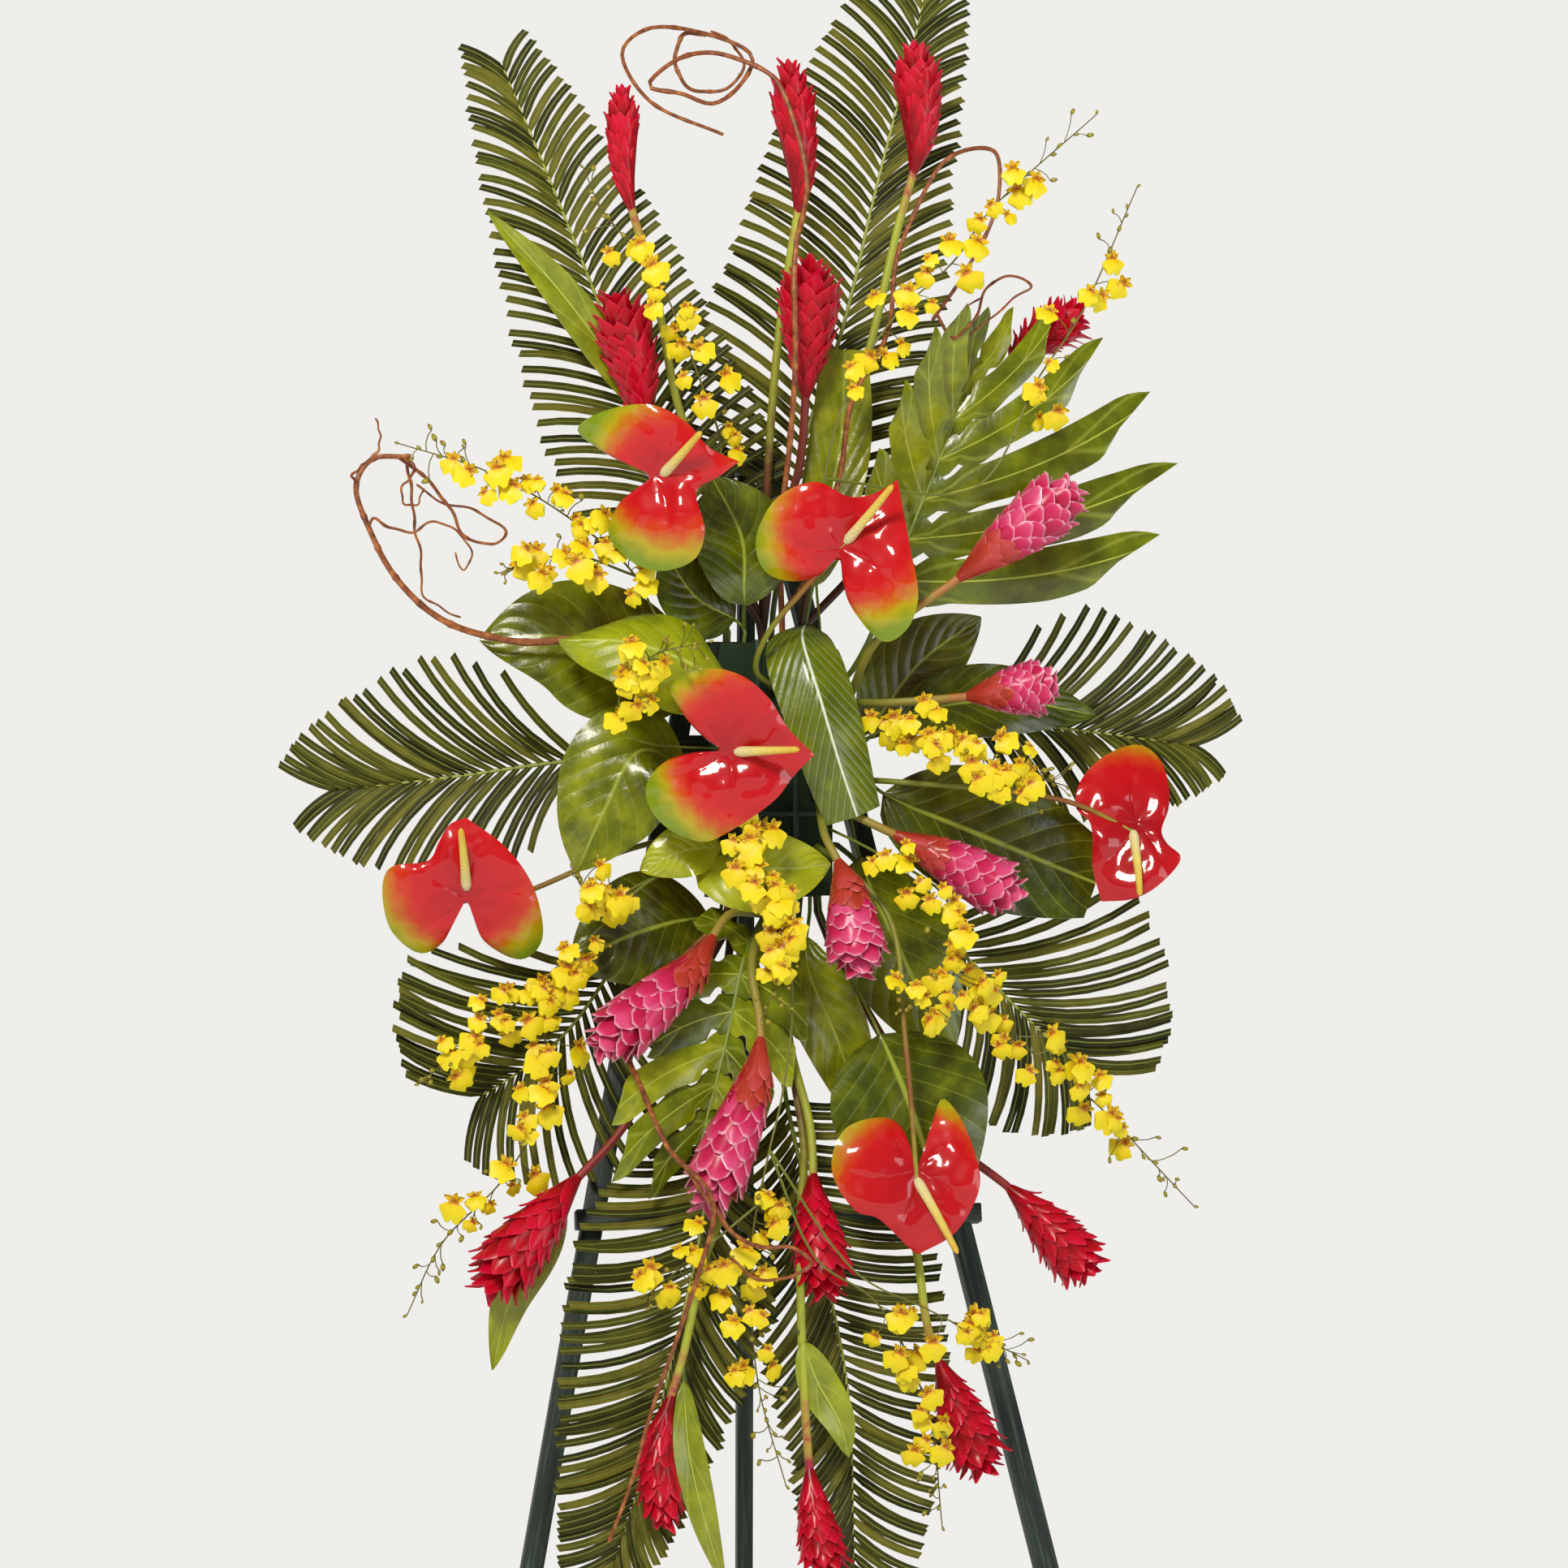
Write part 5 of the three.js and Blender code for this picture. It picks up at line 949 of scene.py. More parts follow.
def model_disc(sides, rings):
    """A disc of radius 1 in x and z, with its two faces at y -0.5 and 0.5."""
    deselect()
    bpy.ops.mesh.primitive_circle_add(vertices=sides, radius=1, fill_type="NOTHING")
    thing = bpy.context.object
    bpy.ops.object.mode_set(mode="EDIT")
    bpy.ops.mesh.select_all(action="SELECT")
    for ring in range(rings - 1, 0, -1):
        bpy.ops.mesh.extrude_edges_move()
        bpy.ops.transform.resize(value=[ring / (ring + 1)] * 3, center_override=(0, 0, 0))
    bpy.ops.mesh.extrude_edges_move()
    bpy.ops.mesh.merge(type="CENTER")
    bpy.ops.mesh.select_all(action="SELECT")
    bpy.ops.transform.rotate(value=math.radians(-90), orient_axis="X", center_override=(0, 0, 0))
    bpy.ops.object.mode_set(mode="OBJECT")
    wall = thing.modifiers.new("both faces", "SOLIDIFY")
    wall.thickness = 1
    wall.offset = 0
    bpy.ops.object.modifier_apply(modifier=wall.name)
    return Template(thing)


def spathe_finish():
    """Lacquered anthurium spathe: deep red, orange and then green towards its lobes' ends. Its
    map says, in lengths of 100 mm, how far from the centre and how far towards the tip."""
    material, tree, shader = new_material("waxy anthurium spathe")
    spot, distance, tipward, greener = surface(tree)
    cloud = node(tree, "TexNoise", Vector=spot, Scale=1 / (14 * MM), Detail=3.0, Roughness=0.6)
    patchy = node(tree, "Math", TIMES_PLUS, i0=cloud, i1=0.24, i2=greener)
    lobeward = node(tree, "Math", TIMES_PLUS, i0=tipward, i1=-0.35, i2=distance)
    together = node(tree, "Math", PLUS, i0=patchy, i1=lobeward)
    ripe = node(tree, "Math", TIMES_PLUS, i0=together, i1=0.75, i2=-0.09)
    stops = [(0.0, "9e000c"), (0.3, "ba0010"), (0.54, "c6040c"), (0.64, "c83406"),
             (0.72, "c07004"), (0.8, "b09e06"), (0.92, "7c920c")]
    colour = node(tree, "ValToRGB", {"stops": stops}, i0=ripe)
    quilts = node(tree, "TexNoise", Vector=spot, Scale=1 / (22 * MM), Detail=0.0, Roughness=0.6)
    quilted = node(tree, "Bump", Height=quilts, Distance=0.004)
    wire(tree, shader, Base_Color=colour, Normal=quilted, Roughness=0.45, Specular_IOR_Level=0.15,
         Coat_Weight=0.9, Coat_Roughness=0.09, Coat_Normal=quilted)
    return material


def spadix_finish():
    """A fleshy spadix: cream at its base, yellow to its tip, packed with tiny grains."""
    material, tree, shader = new_material("grainy spadix")
    spot, _, along, _ = surface(tree)
    stops = [(0.05, "ece0a8"), (0.5, "ecd468"), (1, "e2b834")]
    colour = node(tree, "ValToRGB", {"stops": stops}, i0=along)
    grains = node(tree, "TexVoronoi", Vector=spot, Scale=1 / (1.5 * MM))
    grainy = node(tree, "Bump", Height=grains, Distance=-0.0008)
    wire(tree, shader, Base_Color=colour, Normal=grainy, Roughness=0.5)
    return material


waxy_spathe = spathe_finish()
grainy_spadix = spadix_finish()
spathe_stem = stalk_finish("anthurium stem",
                           [(0, "5e7420"), (0.5, "8a8a2c"), (0.8, "8a4a20"), (1, "9aa02e")])

disc = model_disc(104, 14)
fine_rod = model_rod(12, 30)
for entry in ANTHURIUMS:
    dice = random.Random(entry["name"])
    flower = Piece(entry["name"], "spathe", [waxy_spathe, grainy_spadix, spathe_stem])
    centre = entry["centre"]
    outline = entry["outline"]
    rim = Curve([Vector((right, up, 0)) for right, up in [*outline, outline[0]]])
    tip = Vector((*outline[0], 0)).normalized()
    phase = dice.uniform(0, 6)

    def flat(x, z):
        """The place in the picture, from the spathe's centre, of a point of the disc."""
        return rim.point(math.atan2(x, z) / (2 * math.pi) % 1) * math.hypot(x, z)

    def relief(spot, share):
        """How far a point of the spathe comes forward of its centre."""
        aside = tip.cross(spot).z
        angle = math.atan2(aside, tip.dot(spot))
        away = spot.length
        front = entry["lean"][0] * spot.x + entry["lean"][1] * spot.y - SPATHE_CURL * away ** 2
        front += entry["fold"] * (math.hypot(aside, 4) - 4) - RIM_ROLL * share ** 7
        front += QUILT * abs(math.sin(2.6 * angle + 0.012 * away)) ** 0.4 * min(1, away / 30)
        front += PUCKER * math.sin(away / 5 + phase) * math.sin(7 * angle) * min(1, away / 40)
        return front

    def seen_at(spot, front):
        return seen(centre[0] + spot.x, centre[1] + spot.y, centre[2] + front)

    def place(x, y, z):
        spot = flat(x, z)
        return seen_at(spot, relief(spot, math.hypot(x, z)) + y * SPATHE_THICK)

    def chart(x, z):
        spot = flat(x, z)
        return spot.length / 100, tip.dot(spot) / 100

    flower.lay(disc, place, waxy_spathe, GREEN_LOBES[entry["name"]], chart)
    seat = seen_at(tip * SPADIX_OFF, relief(tip * SPADIX_OFF, 0))
    behind = seat - FRONT
    spike = seen_direction(*entry["spadix"])
    finger = Curve([behind, seat + spike * 0.5 + FRONT * 3, seat + spike])

    def spadix_radius(z):
        rounded = min(1, 0.7 + 4 * z) * min(1, 0.35 + 6 * (1 - z) ** 0.7)
        return SPADIX_THICK * (1 - SPADIX_TAPER * z) * rounded

    flower.rod(fine_rod, Spine(finger, 0, 1, 24, FRONT), spadix_radius, grainy_spadix)
    curve = Curve([*rooted(*entry["root"]), *(seen(*p) for p in entry["stem"]), behind])
    spine = Spine(curve, 0, 1, STEM_STEPS, FRONT)
    flower.rod(fine_rod, spine, lambda z: SPATHE_STEM * (1.05 - 0.2 * z), spathe_stem)
    flower.finish()


# The ginger flowers
# Twelve red and six pink ginger heads: cones of waxy bracts that overlap like scales, on
# thick cut canes with a few of their own long leaves. The canes stand in the foam.

# head: share of the path where the head begins, radius: the head's, open: how far its bracts
# stand off; leaves: the cane's own, from a place on it
GINGERS = [
  { "name": "red_ginger_top_left_pair", "root": ["top", -6, 130], "colour": "redGinger", "stems": [
    { "head": 0.8, "radius": 15, "open": 0,
      "path": [[-66, 1530, 138], [-82, 1610, 140], [-94, 1666, 140], [-117, 1746, 140], [-122, 1850, 136]] },
    { "head": 0.74, "radius": 20, "open": 0,
      "path": [[24, 1498, 134], [34, 1610, 134], [46, 1690, 134], [54, 1746, 134], [42, 1872, 128]] }] },
  { "name": "red_ginger_top_right_pair", "root": ["top", 32, 127], "colour": "redGinger", "stems": [
    { "head": 0.8, "radius": 22, "open": 0,
      "path": [[96, 1500, 140], [122, 1586, 142], [150, 1706, 140], [170, 1786, 136], [166, 1892, 128]] },
    { "head": 0.78, "radius": 20, "open": 0.35,
      "path": [[120, 1380, 128], [200, 1480, 128], [254, 1546, 126], [270, 1578, 126],
        [334, 1628, 126]] }] },
  { "name": "red_ginger_upper_pair", "root": ["top", -8, 148], "colour": "redGinger", "stems": [
    { "head": 0.66, "radius": 26, "open": 0.08,
      "path": [[-60, 1420, 162], [-96, 1500, 166], [-104, 1540, 168], [-130, 1646, 166]] },
    { "head": 0.64, "radius": 28, "open": 0.08,
      "path": [[30, 1400, 164], [52, 1466, 172], [60, 1554, 180], [64, 1676, 178]] }],
    "leaves": [{ "from": [-80, 1490, 164], "rib": [[-114, 1548, 152], [-180, 1640, 148], [-254, 1722, 138]],
      "half": 19 }] },
  { "name": "red_ginger_bottom_left_pair", "root": ["bottom", -36, 150], "colour": "redGinger", "stems": [
    { "head": 0.72, "radius": 28, "open": 0.12,
      "path": [[-60, 940, 200], [-120, 820, 222], [-172, 762, 236], [-262, 650, 240]] },
    { "head": 0.8, "radius": 19, "open": 0,
      "path": [[-20, 940, 202], [-10, 820, 232], [-14, 760, 253], [-40, 690, 284], [-60, 600, 298],
        [-84, 504, 312], [-78, 416, 322]] }],
    "leaves": [{ "from": [-172, 762, 236], "rib": [[-196, 712, 224], [-232, 650, 214], [-250, 580, 214]],
      "half": 20 },
      { "from": [-62, 590, 299], "rib": [[-56, 500, 316], [-40, 430, 324], [-20, 365, 326]], "half": 15 }] },
  { "name": "red_ginger_bottom_pair", "root": ["bottom", 6, 138], "colour": "redGinger", "stems": [
    { "head": 0.74, "radius": 25, "open": 0.08,
      "path": [[44, 900, 208], [64, 820, 250], [68, 748, 274], [80, 648, 286]] },
    { "head": 0.84, "radius": 20, "open": 0.08,
      "path": [[46, 880, 212], [58, 800, 240], [54, 730, 276], [56, 600, 304], [66, 458, 324],
        [84, 364, 334]] }],
    "leaves": [{ "from": [52, 620, 302], "rib": [[70, 570, 306], [92, 530, 310], [102, 494, 312]],
      "half": 19 }] },
  { "name": "red_ginger_right_pair", "root": ["bottom", 48, 130], "colour": "redGinger", "stems": [
    { "head": 0.76, "radius": 24, "open": 0.15,
      "path": [[140, 900, 190], [210, 800, 214], [262, 758, 220], [346, 668, 222]] },
    { "head": 0.8, "radius": 25, "open": 0.12,
      "path": [[120, 900, 196], [148, 800, 236], [160, 740, 250], [170, 690, 266], [180, 620, 282],
        [196, 576, 286], [238, 472, 284]] }] },
  { "name": "pink_ginger_right_pair", "root": ["right", 1236, 160], "colour": "pinkGinger", "stems": [
    { "head": 0.62, "radius": 28, "open": 0,
      "path": [[130, 1300, 230], [214, 1364, 250], [330, 1454, 250]] },
    { "head": 0.62, "radius": 25, "open": 0,
      "path": [[140, 1238, 212], [216, 1244, 230], [306, 1256, 232]] }] },
  { "name": "pink_ginger_centre_pair", "root": ["front", 38, 1146], "colour": "pinkGinger", "stems": [
    { "head": 0.5, "radius": 26, "open": 0,
      "path": [[110, 1126, 222], [168, 1098, 236], [272, 1044, 240]] },
    { "head": 0.45, "radius": 27, "open": 0,
      "path": [[78, 1108, 236], [94, 1074, 256], [114, 968, 270]] }] },
  { "name": "pink_ginger_lower_left_pair", "root": ["bottom", -8, 168], "colour": "pinkGinger", "stems": [
    { "head": 0.5, "radius": 27, "open": 0,
      "path": [[-18, 1028, 234], [-48, 984, 256], [-150, 890, 276]] },
    { "head": 0.5, "radius": 27, "open": 0,
      "path": [[6, 980, 244], [14, 900, 276], [-42, 732, 308]] }] },
]
CANE = 4.0
CORE = 4.6
BRACT_THICK = 0.8
# Which of a node's canes, by their order, are yellow-green and not red
LIME_CANES = {
    "red_ginger_top_left_pair": (0, 1), "red_ginger_top_right_pair": (0,), "red_ginger_right_pair": (1,),
    "red_ginger_bottom_left_pair": (1,), "red_ginger_bottom_pair": (0, 1),
}
GOLDEN = math.pi * (3 - 5 ** 0.5)
BRACTS = 84
# half: half a bract's width before the club adds to it, blunt and round: the form of its end
RED_BRACT = {"half": 4.4, "blunt": 3.2, "round": 0.7}
PINK_BRACT = {"half": 6, "blunt": 5, "round": 0.55}


def bract_finish(name, stops, edge, edge_from):
    """A waxy bract: one colour along it, another along its margin."""
    material, tree, shader = new_material(name)
    _, across, along, variety = surface(tree)
    shift = node(tree, "Math", TIMES_PLUS, i0=variety, i1=0.5, i2=-0.25)
    shifted = node(tree, "Math", PLUS, i0=along, i1=shift)
    colour = node(tree, "ValToRGB", {"stops": stops}, i0=shifted)
    end = node(tree, "Math", {"operation": "POWER"}, i0=along, i1=3.0)
    distance = node(tree, "Math", SIZE_OF, i0=across)
    rim = node(tree, "Math", {"operation": "MAXIMUM"}, i0=distance, i1=end)
    margin = node(tree, "MapRange", Value=rim, From_Min=edge_from, From_Max=1.0, To_Min=0.0, To_Max=0.9)
    edged = node(tree, "Mix", COLOURS, i0=margin, i6=colour, i7=linear(edge))
    wire(tree, shader, Base_Color=edged, Roughness=0.36, Specular_IOR_Level=0.2, Coat_Weight=0.25,
         Coat_Roughness=0.2, Subsurface_Weight=0.08)
    return material


red_bract = bract_finish("waxy crimson bract",
                         [(0.3, "92000c"), (0.7, "c2001a"), (1.0, "d4042e")],
                         edge="de2444", edge_from=0.8)
pink_bract = bract_finish("waxy pink bract",
                          [(0.3, "aa0c34"), (0.7, "d02458"), (1.0, "de4c7c")],
                          edge="f6b2c4", edge_from=0.76)
pink_base = bract_finish("waxy orange-red bract",
                         [(0.3, "a4301c"), (0.7, "b83828"), (1.0, "c44444")],
                         edge="cc5c4c", edge_from=0.8)
red_cane = stalk_finish("red ginger cane",
                        [(0, "3c2412"), (0.4, "7c3a1c"), (0.72, "8c2c24"), (1, "9a1a2c")])
lime_cane = stalk_finish("yellow-green ginger cane",
                         [(0, "42220e"), (0.28, "6a3c18"), (0.42, "8f9028"),
                          (0.74, "aab434"), (0.82, "b08a3c"), (0.88, "a42438")])
pink_cane = stalk_finish("pink ginger cane",
                         [(0, "6c8024"), (0.5, "9a8a34"), (0.8, "bb5a34"), (1, "c2402f")])
cane_leaf = veined_finish(
    "long ginger leaf",
    [(0.25, "5a6a08"), (0.5, "828c0c"), (0.8, "a8b21c")],
    midrib="bcc658", gloss=0.36, veins=3)

bract = model_blade(4, 5)


def lay_head(piece, curve, start, radius, opening, pink, dice):
    """One ginger head: bracts in a golden-angle spiral that hug a club over a curve's end."""
    length = curve.length * (1 - start)
    shape = PINK_BRACT if pink else RED_BRACT
    long = 0.2 * length + 6
    run = 1 - 0.85 * long / length
    front = square(Vector((0.2, -1, 0.1)), curve.tangent(1))

    def club(t):
        """The club's radius at a share of the head: thin at the cane, widest near its end."""
        return CORE + (radius - CORE) * math.sin(math.pi * (0.02 + 0.6 * min(1, t) ** 0.9)) ** 1.2

    for i in range(BRACTS):
        tau = i / (BRACTS - 1)
        foot = run * tau
        share = start + (1 - start) * foot - 0.01
        spot, axis = curve.point(share), curve.tangent(share)
        first = square(front, axis)
        second = axis.cross(first)
        turn = i * GOLDEN
        finish = (pink_base if tau < 0.26 else pink_bract) if pink else red_bract
        reach = long * dice.uniform(0.85, 1.12)
        inner = 1 - 0.75 * max(0, (tau - 0.78) / 0.22)
        stand = 0.05 + 0.5 * max(0, tau - 0.5) if pink else 0.04 + 0.24 * tau ** 2 + 0.8 * opening
        flare = stand * radius * dice.uniform(0.5, 1.4)
        half = shape["half"] + 0.3 * club(foot + 0.1)

        def place(x, y, z):
            hug = club(foot + 0.9 * z * reach / length) * inner
            rise = max(CORE * 0.6, hug - 1.6 * (1 - z)) + flare * z ** 4
            width = half * min(1, 0.7 + z) * max(0.05, 1 - z ** shape["blunt"]) ** shape["round"]
            swing = turn + x * width / max(rise, 6)
            out = first * math.cos(swing) + second * math.sin(swing)
            cup = rise + y * BRACT_THICK - 1.2 * x * x * z
            return spot + out * cup + axis * (reach * z)

        piece.lay(bract, place, finish, dice.random())


for entry in GINGERS:
    dice = random.Random(entry["name"])
    pink = entry["colour"] == "pinkGinger"
    finishes = [red_bract, red_cane, lime_cane, cane_leaf, green_stalk]
    if pink:
        finishes = [pink_bract, pink_base, pink_cane]
    ginger = Piece(entry["name"], "pink_bract" if pink else "red_bract", finishes)
    main = None
    for order, stem in enumerate(entry["stems"]):
        lime = order in LIME_CANES.get(entry["name"], ())
        cane = pink_cane if pink else (lime_cane if lime else red_cane)
        if main:
            curve = Curve([main.point(collar_of(main)), *(seen(*p) for p in stem["path"])])
        else:
            curve = main = stem_curve(entry["root"], stem["path"])
        spine = Spine(curve, 0, 1 - 0.3 * (1 - stem["head"]), STEM_STEPS, FRONT)
        ginger.rod(fine_rod, spine, lambda z: CANE, cane)
        lay_head(ginger, curve, stem["head"], stem["radius"], stem["open"], pink, dice)
    for leaf in entry.get("leaves", []):
        curve = Curve([seen(*p) for p in (leaf["from"], *leaf["rib"])])
        blade = {"half": leaf["half"], "full": 0.8, "fold": 0.3, "face": FRONT}
        lay_leaf(ginger, curve, 0.1, blade, {"wave": 1.5}, dice, cane_leaf)
    ginger.finish()


# The orchid sprays
# Dancing-lady orchids: thin branching stems, each floret with five small barred tepals and a
# broad two-lobed yellow lip, and green buds at the tips. The stems stand in the foam.

# from: share of a branch where its florets begin, at: share of the main branch where it starts
SPRAYS = [
  { "name": "orchid_spray_top_left", "root": ["top", -44, 138], "branches": [
    { "florets": 5, "from": 0.42,
      "path": [[-50, 1400, 180], [-24, 1482, 184], [-44, 1554, 200], [-92, 1666, 200],
        [-140, 1722, 188], [-160, 1766, 180]] }] },
  { "name": "orchid_spray_top_right", "root": ["top", 44, 166], "branches": [
    { "florets": 5, "from": 0.42,
      "path": [[70, 1380, 214], [92, 1520, 226], [140, 1610, 232], [206, 1674, 222], [240, 1722, 208],
        [346, 1818, 170]] },
    { "at": 0.3, "florets": 3, "from": 0.4,
      "path": [[226, 1450, 232], [290, 1560, 222], [330, 1620, 206], [386, 1746, 184]] }] },
  { "name": "orchid_spray_left", "root": ["left", 1276, 152], "branches": [
    { "florets": 4, "from": 0.35,
      "path": [[-80, 1310, 196], [-114, 1370, 204], [-182, 1426, 200], [-254, 1466, 188],
        [-342, 1494, 174]] },
    { "at": 0.4, "florets": 2, "from": 0.2,
      "path": [[-174, 1384, 208], [-244, 1366, 204]] }] },
  { "name": "orchid_spray_centre_upper", "root": ["front", -38, 1192], "branches": [
    { "florets": 3, "from": 0.66,
      "path": [[-112, 1204, 232], [-124, 1244, 262], [-92, 1284, 280], [-36, 1298, 286]] }] },
  { "name": "orchid_spray_centre", "root": ["front", -6, 1118], "branches": [
    { "florets": 5, "from": 0.3,
      "path": [[-4, 1116, 240], [14, 1080, 260], [24, 1038, 268], [34, 978, 276], [16, 925, 280]] }] },
  { "name": "orchid_spray_right", "root": ["right", 1202, 166], "branches": [
    { "florets": 6, "from": 0.36,
      "path": [[126, 1204, 190], [158, 1218, 236], [190, 1202, 262], [250, 1176, 268],
        [316, 1156, 258]] }] },
  { "name": "orchid_spray_lower_left", "root": ["left", 1084, 166], "branches": [
    { "florets": 5, "from": 0.3,
      "path": [[-92, 1064, 202], [-140, 1020, 212], [-196, 950, 214], [-196, 850, 214],
        [-236, 772, 210], [-300, 704, 204], [-334, 634, 200]] },
    { "at": 0.34, "florets": 3, "from": 0.25,
      "path": [[-240, 930, 212], [-322, 862, 200]] },
    { "at": 0.16, "florets": 2, "from": 0.4,
      "path": [[-150, 1044, 222], [-172, 1076, 228]] }] },
  { "name": "orchid_spray_lower_right", "root": ["front", 42, 1118], "branches": [
    { "florets": 6, "from": 0.2,
      "path": [[130, 1090, 262], [194, 1050, 282], [226, 970, 262], [280, 896, 236], [338, 850, 226],
        [442, 742, 214]] },
    { "at": 0.4, "florets": 2, "from": 0.3,
      "path": [[200, 960, 276], [150, 934, 284]] }] },
  { "name": "orchid_spray_bottom", "root": ["bottom", 8, 166], "branches": [
    { "florets": 4, "from": 0.56,
      "path": [[42, 1010, 246], [46, 930, 262], [36, 850, 288], [22, 790, 300], [6, 700, 302],
        [12, 570, 320], [40, 466, 340]] },
    { "at": 0.6, "florets": 2, "from": 0.4,
      "path": [[-40, 700, 314], [-102, 650, 316]] },
    { "at": 0.52, "florets": 3, "from": 0.45,
      "path": [[70, 690, 318], [130, 646, 318], [180, 540, 318], [194, 426, 322]] },
    { "at": 0.52, "florets": 2, "from": 0.7,
      "path": [[110, 676, 334], [180, 640, 332], [278, 590, 312]] }] },
]
SPRAY_STEM = 1.5
SPRAY_TIP = 0.6
PEDICEL = 0.55
FLORET_SIZE = 29
BUDS_FROM = 0.85
TIP_BUDS = 4
# How many florets the real spray has for each one of the plain model, at the top and elsewhere
DENSER_HIGH = 5
DENSER_LOW = 9
# Each tepal's turn from upright in degrees, and its reach as a share of the floret's size
TEPALS = [(0, 0.3), (66, 0.36), (-66, 0.36), (128, 0.26), (-128, 0.26)]


def petal_finish(name, stops, mark_colour, mark_size, mark_share):
    """A thin satin petal with brown marks of about mark_size millimetres."""
    material, tree, shader = new_material(name)
    spot, _, along, _ = surface(tree)
    colour = node(tree, "ValToRGB", {"stops": stops}, i0=along)
    cloud = node(tree, "TexNoise", Vector=spot, Scale=1 / (mark_size * MM), Detail=2.0, Roughness=0.6)
    marks = node(tree, "MapRange", Value=cloud, From_Min=mark_share, From_Max=mark_share + 0.06)
    marked = node(tree, "Mix", COLOURS, i0=marks, i6=colour, i7=linear(mark_colour))
    wire(tree, shader, Base_Color=marked, Roughness=0.5, Subsurface_Weight=0.1)
    return material


orchid_lip = petal_finish("satin orchid lip",
                          [(0, "a8480c"), (0.08, "d87c06"), (0.17, "f4d000"), (1, "f8e600")],
                          mark_colour="e2b200", mark_size=3, mark_share=0.66)
orchid_tepal = petal_finish("barred orchid tepal",
                            [(0, "c07010"), (0.5, "e6bc06"), (1, "eecc10")],
                            mark_colour="8a4410", mark_size=2.4, mark_share=0.56)
orchid_stem = stalk_finish("orchid stem", [(0, "6c7a24"), (0.5, "74702a"), (1, "6a5a26")])
orchid_bud = stalk_finish("orchid bud", [(0, "5d5c20"), (0.6, "a8a02a"), (1, "7c5a1e")])

lip = model_blade(6, 4)
tepal = model_blade(2, 3)
thread = model_rod(4, 3)
spray_rod = model_rod(6, 60)
bud = model_rod(6, 4)


def lay_floret(piece, centre, facing, up, size, dice):
    """One floret: the two-lobed lip hangs below its centre, the tepals stand around it."""
    lift = square(up, facing)
    side = lift.cross(facing)
    shade = dice.random()
    ruffle = dice.uniform(0.4, 1.2)
    cup = dice.uniform(-0.1, 0.14)

    def lip_place(x, y, z):
        spread = size * (0.07 + 0.43 * math.sin(math.pi * (0.02 + 0.7 * z)))
        lobes = 0.16 * math.sin(math.pi * min(1, abs(x))) * z - 0.2 * z * abs(x) ** 3
        drop = size * (0.6 * z + lobes)
        bulge = size * (0.1 * math.sin(math.pi * z) + cup * z * z - 0.1 * x * x * z)
        bulge += ruffle * math.sin(5 * x + 3 * z) * z
        return centre + side * (x * spread) - lift * drop + facing * (1 + bulge + y * 0.7)

    piece.lay(lip, lip_place, orchid_lip, shade)
    for degrees, reach in TEPALS:
        turn = math.radians(degrees + dice.uniform(-12, 12))
        along = lift * math.cos(turn) + side * math.sin(turn)
        wide = along.cross(facing)
        curl = dice.uniform(-0.1, 0.15)

        def tepal_place(x, y, z):
            width = size * 0.11 * math.sin(math.pi * min(0.97, 0.14 + 0.86 * z)) ** 0.7
            return centre + along * (size * reach * z) + wide * (x * width) \
                + facing * (size * (curl * z * z + 0.05 * abs(x)) + y * 0.7)

        piece.lay(tepal, tepal_place, orchid_tepal, shade)


def lay_shoot(piece, curve, count, start, dice):
    """Florets on thin side twigs along a shoot from a share of it on, and buds nearer its tip."""
    for i in range(count):
        share = start + (0.96 - start) * (i + dice.uniform(0.1, 0.9)) / count
        spot, axis = curve.point(share), curve.tangent(share)
        front = square(FRONT, axis)
        turn = dice.uniform(-1.3, 1.3)
        out = front * math.cos(turn) + axis.cross(front) * math.sin(turn)
        centre = spot + out * dice.uniform(7, 32) + axis * dice.uniform(-6, 14)
        facing = (FRONT + out * dice.uniform(0.0, 1.5) + axis * dice.uniform(-0.7, 0.7)).normalized()
        stalk = Curve([spot, (spot + centre) / 2 + axis * 3, centre])
        piece.rod(thread, Spine(stalk, 0, 1, 4, front), lambda z: PEDICEL, orchid_stem)
        if share > BUDS_FROM or dice.random() < 0.16:
            lay_bud(piece, centre, (out + axis).normalized(), dice.uniform(4, 8), dice)
        else:
            up = Vector((dice.uniform(-0.9, 0.9), 0, 1))
            lay_floret(piece, centre, facing, up, FLORET_SIZE * dice.uniform(0.55, 1.05), dice)


def spray_radius(z):
    """A spray stem's radius at a share of its length."""
    return SPRAY_STEM + (SPRAY_TIP - SPRAY_STEM) * z


def lay_bud(piece, place_at, along, length, dice):
    """One closed bud, an egg shape."""
    side = square(Vector((0.3, 0.5, 0.8)), along)
    other = along.cross(side)

    def place(x, y, z):
        radius = length * 0.34 * math.sin(math.pi * (0.08 + 0.84 * z)) ** 0.7
        return place_at + along * (length * z) + (side * x + other * y) * radius

    piece.lay(bud, place, orchid_bud, dice.random())


